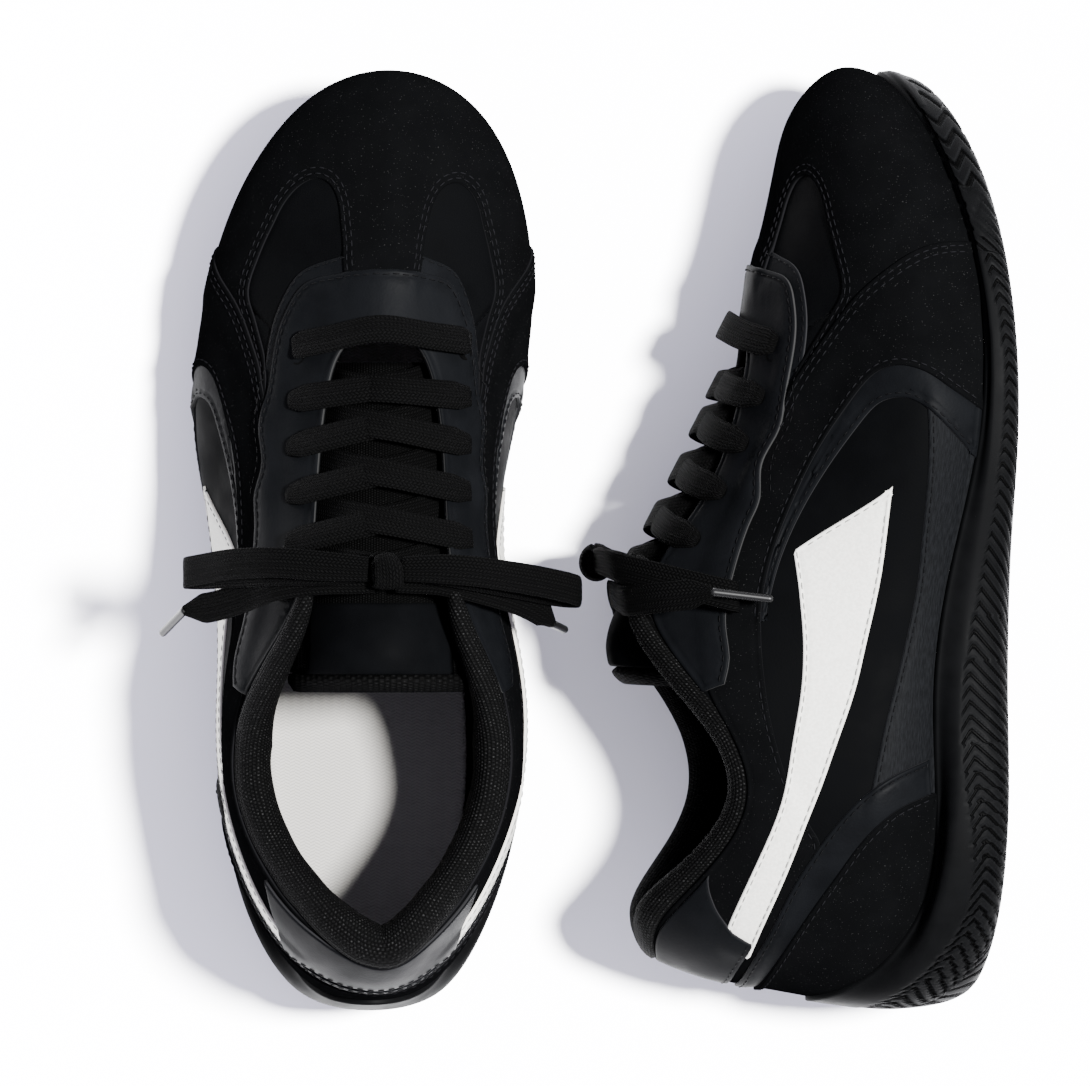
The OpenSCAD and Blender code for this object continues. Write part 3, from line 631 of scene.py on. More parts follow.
def make_knit(name, base, spark, pitch=1.15, along=1.0):
    """Open knit: rows of small loops, with painted glints on the loops' tops here and there."""
    m = Shader(name)
    x, y, _ = m.split(m.space((1 / (pitch * MM), along / (pitch * MM), 1), True))
    row = m.math("FLOOR", y)
    shifted = m.plus(x, m.times(row, 0.5))
    bulge = m.times(m.wave(shifted), m.wave(y))
    glint = m.noise(0.5, 1, 0.5)
    # painted glints: light spots on the tops of the loops, where the noise allows
    show = m.times(m.fit(bulge, 0.45, 0.9), m.fit(glint, 0.52, 0.68))
    # painted shade: darker between the loops and rows
    tone = m.mix(m.fit(bulge, 0.0, 0.6), gray(base * 0.3), gray(base))
    tone = m.mix(show, tone, gray(spark))
    m.bump(bulge, 0.45, 0.8)
    m.finish(tone, 0.75, 0.01)


def make_braid(name, base):
    """Flat braid: lanes of slanting strands along the lace; u runs along it and v across, both in metres."""
    m = Shader(name)
    u, v, _ = m.split(m.space((1 / (1.25 * MM), 1 / (1.0 * MM), 1), True))
    lane = m.math("FLOOR", v)
    across = m.minus(v, lane)
    side = m.lean(lane)
    phase = m.plus(u, m.times(m.times(side, across), 0.55))
    strand = m.wave(phase)
    crown = m.math("SINE", m.times(across, math.pi))
    relief = m.times(m.math("POWER", strand, 0.7), m.math("POWER", m.size(crown), 0.5))
    strand_glint = m.noise(0.35, 2, 0.6)
    # painted shade: darker between the strands and at each lane's edges
    tone = m.mix(m.fit(relief, 0.1, 0.9), gray(base * 0.25), gray(base * 1.1))
    # painted highlight: light flecks only on the tops of the strands
    tone = m.mix(m.times(m.fit(strand_glint, 0.58, 0.75), m.fit(relief, 0.5, 0.9)), tone, gray(base * 4.5))
    m.bump(relief, 0.5, 0.9)
    m.finish(tone, 0.8, 0.01)


def make_insole(name, base):
    """Woven cloth: short slanting ribs in rows that lean left and right by turns."""
    m = Shader(name)
    x, y, _ = m.split(m.space((1 / (1.5 * MM), 1 / (0.95 * MM), 1), True))
    column = m.math("FLOOR", x)
    across = m.minus(x, column)
    side = m.lean(m.size(column))
    phase = m.plus(y, m.times(m.times(side, across), 0.6))
    rib = m.wave(phase)
    wide = m.noise(16, 2, 0.5)
    warm = (base, base * 0.965, base * 0.90)
    dark = tuple(c * 0.72 for c in warm)
    # painted shade: darker between the ribs; the wide noise below adds a random darker tone
    tone = m.mix(m.fit(rib, 0.05, 0.75), dark, warm)
    tone = m.mix(m.fit(wide, 0.4, 0.75, 0, 0.12), tone, dark)
    m.bump(rib, 0.22, 0.6)
    m.finish(tone, 0.85, 0.2, 0.1)


def make_plain(name, color, rough, grain=0.3, relief=0.05, specular=0.4):
    m = Shader(name)
    fine = m.noise(grain, 3, 0.6)
    tone = m.mix(m.fit(fine, 0.3, 0.75), tuple(c * 0.82 for c in color), color)
    m.bump(fine, relief, 0.6)
    m.finish(tone, rough, specular)


def make_floor():
    m = Shader("floor")
    cloud = m.noise(400, 2, 0.5)
    m.finish(m.mix(m.fit(cloud, 0.3, 0.7), (0.90, 0.90, 0.915), (0.92, 0.92, 0.93)), 0.9, 0.1)


make_suede("suede", 0.0006, 0.004)
make_leather("leather", 0.0009, 0.5, spec=0.0055)
make_leather("vamp_leather", 0.0004, 0.7, 0.1, 0.7, 0.04, 0.004)
make_leather("label", 0.0005, 0.6, 0.1, 0.8, 0.03, 0.002)
make_lined("lined", 0.0011, 0.6)
make_plain("white", (0.235, 0.232, 0.215), 0.7, 0.9, 0.05, 0.05)
make_plain("white_edge", (0.22, 0.21, 0.19), 0.8, 0.3, 0.05, 0.05)
make_plain("cut_edge", (0.003, 0.003, 0.0033), 0.8, 0.3, 0.05, 0.05)
make_plain("suede_edge", (0.002, 0.002, 0.0022), 0.9, 0.3, 0.05, 0.0)
make_plain("pale_edge", (0.006, 0.006, 0.006), 0.8, 0.3, 0.05, 0.05)
make_rubber("rubber", 0.0006, 0.55)
make_knit("knit", 0.0006, 0.0055)
make_knit("lining", 0.0005, 0.003, 1.3)
make_knit("tongue_cloth", 0.0002, 0.0012, 0.8)
make_knit("binding", 0.0004, 0.0018, 1.0, 0.6)
make_braid("braid", 0.0004)
make_insole("insole", 0.120)
make_plain("foam", (0.74, 0.72, 0.66), 0.8, 0.6, 0.1)
make_plain("board", (0.45, 0.42, 0.36), 0.8, 1.2, 0.1)
make_plain("thread", (0.0005, 0.0005, 0.0006), 0.7, 0.2, 0.03, 0.02)
# the suede's stitches: partly a grey thread, partly a painted highlight where they catch the light
make_plain("light_thread", (0.0024, 0.0024, 0.0027), 0.7, 0.2, 0.03, 0.0)
make_plain("grey_thread", (0.075, 0.074, 0.07), 0.7, 0.2, 0.03, 0.1)
make_plain("tip", (0.0012, 0.0012, 0.0012), 0.4, 1.5, 0.02, 0.08)
make_floor()


# ---- panels of the upper -----------------------------------------------------------------------------------
# The outlines are those of the CAD parts, lateral side; the inner side's are their mirror images.
OVERLAY_FRONT = [(12.33, 0.05), (12.45, 0.9), (12.6, 1.8), (12.8, 2.8), (13.06, 3.4), (13.35, 3.78),
                 (13.9, 4.1)]
OVERLAY_TOP = [(14.8, 4.25), (15.6, 4.5), (16.1, 4.9), (17, 4.93), (18, 4.93), (19, 4.93), (19.99, 4.93)]
ARCH_OUTER = [(13.72, 0.05), (13.6, 0.75), (13.47, 1.4), (13.42, 2), (13.5, 2.5), (13.75, 2.9), (14.1, 3.18),
              (14.6, 3.3), (15.45, 3.4)]
OVERLAY_SEAM = [(15.98, 3.4), (16.31, 3.42), (16.57, 3.35), (16.8, 3.15), (17.05, 2.75), (17.25, 2.4),
                (17.45, 2.12), (17.8, 2.25), (18.6, 2.6), (19.99, 2.85)]
ARCH_INNER = [(14.12, 0.05), (13.9, 0.8), (13.75, 1.35), (13.68, 1.85), (13.73, 2.35), (13.93, 2.68),
              (14.25, 2.96), (14.7, 3.15), (15.45, 3.3)]
RAND_TOP = [(13.6, 1.38), (13.85, 1.26), (14.3, 1.08), (14.8, 0.93), (15.2, 0.86), (15.6, 0.93), (16, 1.06),
            (16.4, 1.2), (16.9, 1.33), (17.2, 1.4)]
STRIPE_LOW = [(14.4, 1.75), (15.1, 1.56), (15.75, 1.64), (16.2, 1.78), (16.8, 2.14), (17.4, 2.55),
              (18.2, 2.84), (18.9, 2.99)]
STRIPE_HIGH = [(14.93, 3.06), (15.3, 2.82), (15.75, 2.65), (16.2, 2.7), (16.8, 3.08), (17.4, 3.46),
               (18.1, 3.52), (18.85, 3.59)]
BAND_OUTER = [(16.7, 0.3), (16.8, 0.95), (17, 1.5), (17.35, 2.05), (17.8, 2.5), (18.4, 2.75), (19.1, 2.98),
              (20, 3.15)]
BAND_INNER = [(17, 0.3), (17.1, 0.9), (17.35, 1.4), (17.7, 1.8), (18.1, 2.15), (18.6, 2.42), (19.2, 2.62),
              (20, 2.78)]
TAB_LOW = [(18.62, 2.98), (19.3, 3.18), (20, 3.3)]
TAB_SIDE = [(17.9, 4.7), (18.15, 4.1), (18.5, 3.4)]
TAB_HIGH = [(17.9, 4.7), (19, 4.85), (20, 4.88)]
FACING = [(15.95, 4.35), (15.75, 4.05), (15.4, 3.98), (15, 3.86), (14.6, 3.8), (14.35, 3.76), (14, 3.9),
          (13.7, 3.78), (13.3, 3.86), (12.8, 3.86), (12.4, 3.92), (12, 4.02), (11.4, 4.3), (10.7, 4.48),
          (10, 4.54)]
CAP_SIDE = [(13.5, 3.86), (13.15, 3.72), (12.86, 3.33), (12.66, 3.02), (12.3, 3.03), (11.96, 3.03),
            (11.7, 2.98), (11.45, 3.0), (11.24, 3.12), (11.1, 3.35), (11.06, 3.65), (11.12, 4.0),
            (11.15, 4.5), (10.6, 4.62), (10, 4.66)]
CAP_BACK = [(13.5, 3.5), (13.2, 2.8), (13.0, 1.9), (12.9, 1.0), (12.85, 0.05)]
BRIM = 4.97


def whole(points):
    """A curve that ends on the toe's middle line, carried on as its own mirror image."""
    return list(points) + mirrored(points)[1:]


def round_heel(points):
    return list(points) + [(2 * STATIONS - s, t) for s, t in reversed(list(points))][1:]


def along(points, step=5):
    return [tuple(p) for p in smooth(points, step)]


def under_lip(s_from, s_to, n=24):
    return [(s, 0.55 * float(lip_level(s % STATIONS))) for s in np.linspace(s_from, s_to, n)]


def lifted(row):
    return [(s, max(t, 0.55 * float(lip_level(s % STATIONS)))) for s, t in row]


def both(outline, name, **kw):
    panel(f"{name}_lateral", outline, nodes=(f"{name}_lateral",), **kw)
    panel(f"{name}_medial", mirrored(outline), nodes=(f"{name}_medial",), **kw)


LEATHER = (("leather", "cut_edge"), "trim_leather")
SUEDE = (("suede", "suede_edge"), "suede")


def add_base():
    """The main upper that shows in the toe windows and on the instep panels, with a real inside."""
    for name, start, stop in (("vamp", 7.2, 12.82), ("quarter_lateral", 12.8, 20.0),
                              ("quarter_medial", 0.0, 7.22)):
        s = np.linspace(start, stop, int((stop - start) * 12))
        t = np.concatenate([np.linspace(0.0, 4.8, 46), [4.9, 4.955, BRIM]])
        gs, gt = np.meshgrid(s, t, indexing="ij")
        outer = np.where(gt > 4.9, -0.25, 0.0)
        top = raised(gs.ravel(), gt.ravel(), outer.ravel())
        below = raised(gs.ravel(), gt.ravel(), np.full(gs.size, -1.0))
        faces = grid_faces(len(s), len(t))
        back = [tuple(k + gs.size for k in reversed(f)) for f in faces]
        rows, columns = len(s), len(t)
        rim = ([i * columns for i in range(rows)] + [(rows - 1) * columns + k for k in range(1, columns)]
               + [i * columns + columns - 1 for i in range(rows - 2, -1, -1)] + list(range(columns - 2, 0, -1)))
        band = [(a, a + gs.size, b + gs.size, b) for a, b in zip(rim, rim[1:] + rim[:1])]
        uv = np.stack([gs.ravel(), gt.ravel()], 1) * np.array(SPAN) * MM
        add_mesh(name, np.concatenate([top, below]), faces + back + [tuple(reversed(f)) for f in band], "shoe",
                 (("vamp_leather",), "main_leather"), (name,), None, np.concatenate([uv, uv]))


def add_panels():
    add_base()
    underlay = along(FACING[5:], 4)
    outer = [(s, t - 0.17) for s, t in underlay]
    panel("eyestay_underlay", whole(outer) + list(reversed(whole([(s, t + 0.3) for s, t in underlay]))), 0.7,
          LEATHER, ("eyestay_underlay",))
    cap = along(CAP_BACK[::-1], 3) + along(CAP_SIDE, 4)[1:]
    panel("toe_cap", whole(cap) + under_lip(7.15, 12.85, 60)[1:-1], 0.85, SUEDE, ("toe_cap",), dent=1.6)
    both(along(RAND_TOP) + under_lip(17.2, 13.6, 30), "rand", thick=0.75, slot=(("lined", "cut_edge"),
         "grained_leather"), dent=2.0)
    both(lifted(along(ARCH_INNER)) + lifted(along([(s + (0.1 if t > 3 else -0.1), t + (0.08 if t > 2.4 else 0))
                                                   for s, t in reversed(ARCH_OUTER)])),
         "arch_trim", thick=0.8, slot=LEATHER, dent=2.4)
    both(lifted(along(OVERLAY_FRONT)) + along(OVERLAY_TOP)[1:] + along(OVERLAY_SEAM[::-1])
         + lifted(along(ARCH_OUTER[::-1])), "side_overlay", thick=0.85, slot=SUEDE, dent=1.7)
    both(along(STRIPE_LOW) + along(STRIPE_HIGH[::-1]), "stripe", thick=0.75, slot=(("white", "white_edge"),
         "white_leather"), dent=1.2, soften=3.0)
    panel("heel_tab", round_heel(along(TAB_HIGH)) + [(2 * STATIONS - s, t) for s, t in TAB_SIDE[1:]]
          + [(2 * STATIONS - s, t) for s, t in along(TAB_LOW)] + along(TAB_LOW)[::-1][1:] + TAB_SIDE[::-1][:-1],
          0.9, LEATHER, ("heel_tab",), soften=3.0)
    panel("heel_trim", lifted(round_heel(along(BAND_OUTER))) + lifted(round_heel(along(
        [(s + 0.08, t - 0.12) for s, t in BAND_INNER[:-1]] + [(20, 2.66)]))[::-1]), 0.9, LEATHER,
          ("heel_trim",), dent=1.6, soften=2.5)
    panel("heel_cover", round_heel(along(BAND_INNER)) + under_lip(23, 17, 60), 0.9, SUEDE, ("heel_cover",),
          dent=1.5, soften=2.5)
    facing = whole(along(FACING, 4))
    brim = [(s, BRIM) for s in np.linspace(4.05, 15.95, 90)]
    panel("eyestay", facing[::-1] + brim[::-1], 0.95, (("leather", "pale_edge"), "trim_leather"),
          ("eyestay",), soften=2.5, dent=2.0)


# ---- rubber sole -------------------------------------------------------------------------------------------
TREAD = [(0, 26, 0.2), (9, 29, 0), (18, 41, 0), (23, 67, 0), (22, 100, 0), (19, 132, 0.3), (23, 168, 0),
         (28, 205, 1.4), (24, 235, 6), (16, 254, 13), (5, 262, 17), (-9, 256, 13.5), (-20, 236, 6.2),
         (-30, 205, 1.4), (-31, 168, 0), (-27, 132, 0.3), (-24, 100, 0), (-24, 67, 0), (-19, 41, 0),
         (-10, 29, 0)]
TREAD_EDGE = [(0, 6, 8), (16, 10.5, 7), (33, 33, 2.8), (40, 66, 1.4), (39, 98, 3), (32.5, 132, 3.2),
              (37, 168, 0.7), (43, 206, 2.4), (39, 242, 9), (25.5, 264, 19), (6, 274.5, 27),
              (-15, 266.5, 19.5), (-34, 241, 9), (-46, 206, 2.4), (-47, 168, 0.7), (-41, 132, 3.2),
              (-38.5, 98, 3), (-40, 66, 1.2), (-34, 33, 2.8), (-17, 10.5, 7)]
WALL = [(0, 0, 29.5), (22, 5.5, 28), (36.5, 31, 20), (44.8, 64, 14), (44, 98, 14), (36.5, 133, 12),
        (40.8, 168, 9), (46.6, 206, 9.5), (42, 243, 18), (28, 266, 29), (6, 278.6, 36), (-17, 268.5, 29),
        (-36.5, 243, 18), (-49, 206, 9.5), (-50, 168, 9), (-44.5, 133, 12), (-42.5, 98, 15), (-44, 64, 16),
        (-37.5, 31, 20), (-22.5, 5.5, 28)]
# Height at which the ribbed band begins, and how far below that the ribs' spine runs, station by station
RIB_TOP = [44, 31, 11, 14.5, 16, 10.7, 6.6, 7.5, 19.5, 28.5, 35, 28.5, 19.5, 7.5, 6.6, 10.7, 16, 14.5, 11, 31]
SPINE = [4, 4, 4, 4.4, 2.2, 1.3, 1.7, 2.2, 3, 3, 3, 3, 3, 2.2, 1.7, 1.3, 2.2, 4.4, 4, 4]
LIP_T = 2.3
COLUMNS = 1040
WALL_ROWS, BASE_ROWS = 44, 26
RIB_PITCH, RIB_DEPTH, ZIG_REACH = 4.2, 0.7, 15.0
SOLE_BED = 8.0  # how far above the underside the rubber's inner face lies


def ribs(phase):
    """Depth of the grooves, from 0 on a rib to 1 in a groove."""
    f = phase - np.floor(phase)
    return np.clip(1.5 - 1.5 * np.abs(f - 0.5) / 0.17, 0, 1)


def sole_skin(s, high, down):
    """Rows of points from the rubber's upper edge down the wall and under the sole to its middle line."""
    tread = closed(TREAD, s)
    mirror = (COLUMNS - np.arange(COLUMNS)) % COLUMNS
    middle = (tread + tread[mirror]) / 2 + (tread - tread[mirror]) * 0.03
    line = spline(np.stack([high + down * -3, high, closed(WALL, s), closed(TREAD_EDGE, s), tread, middle,
                            middle]), 12)
    split = 36  # where the wall has turned into the underside
    rows = []
    for start, stop, count in ((0, split, WALL_ROWS), (split, len(line) - 1, BASE_ROWS)):
        part = line[start:stop + 1]
        run = running_rows(part)
        at = np.linspace(0, 1, count, endpoint=start > 0)[:, None] * run[-1]
        rows.append(np.stack([[np.interp(at[:, c], run[:, c], part[:, c, k]) for c in range(COLUMNS)]
                              for k in range(3)], 2).transpose(1, 0, 2))
    return np.concatenate(rows), middle


def sole_relief(s, shell):
    """Where the ribs run: depth to cut away in millimetres, and each point's rib count and share of pattern."""
    run = running_rows(shell)
    first = np.argmax(shell[:, :, 2] < closed(RIB_TOP, s), 0)
    v = run - run[first, np.arange(COLUMNS)]  # distance below the top of the ribbed band
    wall = closed(WALL, s)
    step = np.linalg.norm(np.roll(wall, -1, 0) - wall, axis=1)
    length = np.concatenate([[0], np.cumsum(step)[:-1]])
    length = np.minimum(length, np.interp(STATIONS / 2, s, length) * 2 - length)[None, :]
    spread = np.clip((v - 16) / 14, 0, 1)  # 0 on the wall, 1 on the underside
    lengthways = length * (1 - spread) + (shell[:, :, 1] + 20) * spread
    spine = closed(SPINE, s)[None, :]
    zig = np.abs(((np.abs(v - spine) + ZIG_REACH) % (2 * ZIG_REACH)) - ZIG_REACH)
    phase = (lengthways + np.where(v < spine, 1.5, 0.95) * zig) / RIB_PITCH
    toe = np.clip((np.abs(s - STATIONS / 2) - 1.9) / 0.5, 0, 1)[None, :]  # 0 round the toe, where waves run
    wave = np.abs(((v + 3) % 9) - 4.5)
    big = (length + 1.5 * wave) / (2 * RIB_PITCH)
    begun = np.clip((v - 0.5) / 0.6, 0, 1)
    depth = ribs(phase) * toe + ribs(big) * (1 - toe)
    cut = RIB_DEPTH * depth * begun * (1 - 0.5 * spread) + 0.25 * begun
    return cut, np.where(toe > 0.5, phase, big), begun * np.where(np.abs(toe - 0.5) < 0.45, 0.0, 1.0)


def add_sole():
    s = np.arange(COLUMNS) * STATIONS / COLUMNS
    lip = lip_level(s)
    p, _, dv, n = frame_at(s, lip)
    down = -unit(dv)
    seat = [raised(s, lip * k, np.full(COLUMNS, 0.12)) for k in (0.2, 0.6, 1.0)]
    crown = [p + n * 1.2, p + n * 1.75 + down * 0.06, p + n * 2.1 + down * 0.2]
    shell, middle = sole_skin(s, p + n * LIP_T + down * 0.55, down)
    cut, count_u, share = sole_relief(s, shell)
    across_u = np.roll(shell, -1, 1) - np.roll(shell, 1, 1)
    normal = unit(np.cross(across_u, np.gradient(shell, axis=0)))
    outwards = np.sign(np.sum(normal[WALL_ROWS // 2] * n, 1).mean())
    shell = shell - outwards * normal * cut[..., None]
    inside_rows = [middle + np.array([0, 0, SOLE_BED]), seat[0] - n * 1.5 + np.array([0, 0, -1.0])]
    every = np.concatenate([np.array(inside_rows + seat + crown), shell])
    every[:, :, 2] = np.maximum(every[:, :, 2], 0.0)
    count = len(every)
    faces = grid_faces(count, COLUMNS, True)
    faces += closing_faces(0, COLUMNS, True) + closing_faces(count - 1, COLUMNS, False)
    uv = np.zeros((count, COLUMNS, 2))
    uv[count - len(shell):] = np.stack([count_u, share], 2)
    add_mesh("outsole", every.reshape(-1, 3), faces, "shoe", (("rubber",), "sole_rubber"), ("outsole",), None,
             uv.reshape(-1, 2))


# ---- soft parts --------------------------------------------------------------------------------------------
def loft(name, rings, body, slot, nodes=(), round_path=False, uv=None, sides=SIDES):
    """A skin over a row of closed rings of equal counts, closed at the ends or round on itself."""
    rings = np.asarray(rings, float)
    rows, columns = rings.shape[:2]
    points = rings.reshape(-1, 3)
    if uv is None:
        around_step = np.linalg.norm(np.roll(rings, -1, 1) - rings, axis=2)
        v = np.concatenate([np.zeros((rows, 1)), np.cumsum(around_step, 1)[:, :-1]], 1)
        middle = rings.mean(1)
        u = running(middle)
        uv = np.stack([np.repeat(u, columns), v.ravel()], 1) * MM
    faces = grid_faces(rows, columns, True)
    if round_path:
        last = (rows - 1) * columns
        faces += [(last + k, last + (k + 1) % columns, (k + 1) % columns, k) for k in range(columns)]
    else:
        points = np.concatenate([points, [rings[0].mean(0), rings[-1].mean(0)]])
        uv = np.concatenate([uv, uv[:1], uv[-1:]])
        a, b, last = rows * columns, rows * columns + 1, (rows - 1) * columns
        faces += [((k + 1) % columns, k, a) for k in range(columns)]
        faces += [(last + k, last + (k + 1) % columns, b) for k in range(columns)]
    return add_mesh(name, points, faces, body, slot, nodes, None, uv, sides)


COLLAR_END, COLLAR_HALF_W, COLLAR_HALF_H = 5.2, 4.75, 8.5


def add_collar():
    """The padded roll round the back of the opening. Beside the tongue it is thinner and sits on the edge."""
    rings = []
    steps, count = 170, 28
    for f in np.linspace(0, 1, steps):
        s = COLLAR_END * (2 * f - 1)
        beside = float(np.clip((abs(s) - 3.6) / 1.4, 0, 1))
        grow = (1 - 0.45 * beside) * (0.3 + 0.7 * math.sqrt(max(1 - abs(2 * f - 1) ** 30, 0)))
        p = surf(s, TOP)
        q = surf(s + 0.1, TOP) - surf(s - 0.1, TOP)
        n = unit(np.array([q[1], -q[0], 0]))
        a, b = COLLAR_HALF_W * grow, COLLAR_HALF_H * grow
        ripple = 1 + 0.02 * math.sin(f * 61) + 0.015 * math.sin(f * 97 + 1)
        c = p - n * (1.2 + a - 2.4 * beside) + np.array([0, 0, 5 - b + 1.6 * beside])
        h = circle(count)
        over = np.clip((np.sin(h) + 0.1) / 0.45, 0, 1) * grow
        heel = max(0.0, 1 - (abs(s) / 1.6) ** 2)
        wide = a * ripple + np.where(np.cos(h) > 0, over * (2.0 + 2.2 * heel) - 0.1, 0.3)
        ring = c + np.outer(wide * np.cos(h), n) + np.outer(b * np.sin(h), (0, 0, 1))
        rings.append(ring)
    for obj in loft("collar", rings, "shoe", (("knit",), "collar_knit"), ("collar",)):
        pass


def add_lining():
    rings = []
    tops = [3.8, 3.8, 3.8, 3.8, 3.8, 4.9, 4.9, 4.9, 4.9, 4.9, 4.9]
    for s in np.arange(120) * STATIONS / 120:
        k = s if s <= 10 else STATIONS - s
        top = float(np.interp(k, range(11), tops))
        deep = 2.0 + 1.7 * max(0, 1 - (min(s, STATIONS - s) / 3.4) ** 4)
        t = np.linspace(0.12, top, 18)
        rings.append(np.concatenate([raised(np.full(18, s), t, np.full(18, -deep)),
                                     raised(np.full(18, s), t, np.full(18, -deep - 1.1))[::-1]]))
    loft("lining", rings, "shoe", (("lining",), "lining_cloth"), ("lining",), round_path=True)


def sole_line(s, pull, rise):
    p = surf(s, 0)
    q = surf(s + 0.2, 0) - surf(s - 0.2, 0)
    n = unit(np.stack([q[..., 1], -q[..., 0], 0 * q[..., 0]], -1))
    return p - n * pull + np.array([0, 0, rise])


def add_insole():
    """Sock liner: a thin bed with a rim that turns up round the edge."""
    count = 160
    s = np.arange(count) * STATIONS / count
    mirror = (count - np.arange(count)) % count
    rows = [sole_line(s, 4.4, -1.2), sole_line(s, 4.4, 1.9), sole_line(s, 4.7, 2.7), sole_line(s, 5.6, 3.1),
            sole_line(s, 7.2, 2.8), sole_line(s, 9.5, 2.45)]
    edge = rows[-1]
    middle = (edge + edge[mirror]) / 2
    for f in (0.2, 0.4, 0.6, 0.8, 0.97):
        rows.append(edge + (middle - edge) * f)
    every = np.array(rows)
    faces = grid_faces(len(rows), count, True)
    faces += closing_faces(0, count, True) + closing_faces(len(rows) - 1, count, False)
    uv = every[:, :, :2].reshape(-1, 2) * MM
    for obj in add_mesh("insole", every.reshape(-1, 3), faces, "shoe", (("insole",), "insole_cloth"),
                        ("insole",), None, uv):
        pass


# Middle line of the tongue's upper face, from its sewn end to its tip: y, z, and the half width there
TONGUE_LINE = [(193, 76, 17), (184, 81, 20), (171, 86.5, 22), (156, 93, 23), (143, 99.5, 24), (131, 106, 25),
               (121, 111.3, 25.5), (113, 115, 26), (106, 116.4, 26), (100, 115.4, 26.5)]
BINDING_LINE = [(99.8, 115.6, 27), (98.6, 115.3, 27), (97, 114.2, 27.2), (95.6, 112.4, 27.1),
                (94.9, 110.3, 27)]
MIDDLE_X = 3.3
TONGUE_DROP = 22.0
tongue_run = smooth(TONGUE_LINE, 10)


def tongue_at(y):
    return np.stack([np.interp(-y, -tongue_run[:, 0], tongue_run[:, k]) for k in (1, 2)], -1)


def on_tongue(x, y, rise):
    z, half = tongue_at(np.asarray(y, float))
    return np.array([x, y, z + rise - TONGUE_DROP * abs((x - MIDDLE_X) / half) ** 2.2])


def slab(name, line, top, bottom, wide, slot, nodes, soft_edge=1.0, puff=0.0):
    """A padded strip along a line of (y, z, half width), arched across, with round edges."""
    line = np.asarray(line, float)
    run = np.gradient(line[:, :2], axis=0)
    up = unit(np.stack([0 * run[:, 0], run[:, 1], -run[:, 0]], 1))
    thick = top - bottom
    rings, uvs = [], []
    total = running(line[:, :2])
    length = total[-1]
    for k, (y, z, half) in enumerate(line):
        near = min(total[k], length - total[k])
        thin = min(1.0, 0.25 + near / max(thick * soft_edge, 1e-6)) if soft_edge else 1.0
        u = np.concatenate([np.linspace(-1, 1, 35), np.linspace(1, -1, 35)])
        upper = np.arange(70) < 35
        close = np.clip((1 - np.abs(u)) * half / (0.5 * thick), 0, 1)
        swell = np.sqrt(1 - (1 - close) ** 2)
        offset = np.where(upper, (top + bottom) / 2 + thick / 2 * swell * thin,
                          (top + bottom) / 2 - thick / 2 * swell * thin)
        offset = offset + np.where(upper, puff * (1 - u ** 4) * thin, 0)
        x = MIDDLE_X + half * wide * u
        arch = TONGUE_DROP * np.abs(wide * u) ** 2.2
        rings.append(np.stack([x, np.full(70, y), z - arch], 1) + up[k] * offset[:, None])
        uvs.append(np.stack([np.full(70, total[k]), x], 1))
    return loft(name, rings, "tongue", slot, nodes, uv=np.concatenate(uvs) * MM)


def add_tongue():
    line = smooth(TONGUE_LINE, 9)
    for obj in slab("tongue", line, 0.0, -5.0, 1.0, (("tongue_cloth",), "tongue_cloth"), ("tongue",), 0.6):
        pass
    label = [(y, *tongue_at(y)) for y in np.linspace(120.6, 100.2, 26)]
    slab("tongue_label", label, 1.35, 0.3, 0.83, (("label",), "label_leather"), ("tongue_label",), 0.8)
    slab("tongue_binding", smooth(BINDING_LINE, 4), 0.7, -5.2, 1.0, (("binding",), "binding_cloth"),
         ("tongue_binding",), 0.3)


# ---- laces -------------------------------------------------------------------------------------------------
LACE_W, LACE_T = 9.0, 1.5
BRAID = (("braid",), "lace_braid")
SLOPE = np.array([0, -math.cos(math.radians(26)), math.sin(math.radians(26))])
ACROSS = np.array([0, 1, 0.15])
SECTION = 16


def band(route, wide, step=1.5, width=None, bow=0.25):
    """Rings of a flat lace along a route, its centre line and its running lengths for the braid."""
    line, run = respaced(smooth(route, 8), step)
    along_line = unit(np.gradient(line, axis=0))
    wide = np.broadcast_to(np.asarray(wide, float), line.shape)
    side = unit(wide - (wide * along_line).sum(1)[:, None] * along_line)
    face = np.cross(side, along_line)
    h = circle(SECTION)
    c, z = np.sign(np.cos(h)) * np.abs(np.cos(h)) ** 0.75, np.sign(np.sin(h)) * np.abs(np.sin(h)) ** 0.8
    scale = np.ones(len(line)) if width is None else np.interp(run / run[-1], *zip(*width))
    thick = (z * LACE_T / 2 + bow * (np.abs(c) ** 2 - 0.5)) * (2 - scale[:, None])
    rings = (line[:, None] + side[:, None] * (c * LACE_W / 2)[None, :, None] * scale[:, None, None]
             + face[:, None] * thick[..., None])
    uv = np.stack([np.repeat(run, SECTION), np.tile(c * LACE_W / 2, len(line))], 1)
    return rings, line, uv * MM


def flat_lace(name, route, wide, body, nodes, side, step=1.5, width=None, bow=0.25):
    rings, line, uv = band(route, wide, step, width, bow)
    uv = uv.reshape(len(rings), SECTION, 2)[:, ::-1].reshape(-1, 2)
    obj, = loft(name, rings[:, ::-1], body, BRAID, nodes, uv=uv, sides=(side,))
    return obj, line


def sample_height(s, t):
    return float(sample(height, s, t))


EYELETS = 6


def hole_at(i, outer):
    """Place (s, t) of a punched hole; hole 0 is the nearest to the toe."""
    return (12.7 + 0.455 * i, 4.32 + 0.06 * i) if outer else (7.2 - 0.43 * i, 4.12 + 0.08 * i)


def eyelet(i, outer, rise):
    s, t = hole_at(i, outer)
    return raised(s, t, sample_height(s, t) + rise)


def beside_tongue(y, outer):
    """Place on the edge beside the tongue at a distance along the shoe."""
    t = np.linspace(10.2, 15.6, 60)
    line = surf(t if outer else STATIONS - t, np.full(60, 4.93))
    return np.array([np.interp(-y, -line[:, 1], line[:, k]) for k in range(3)])


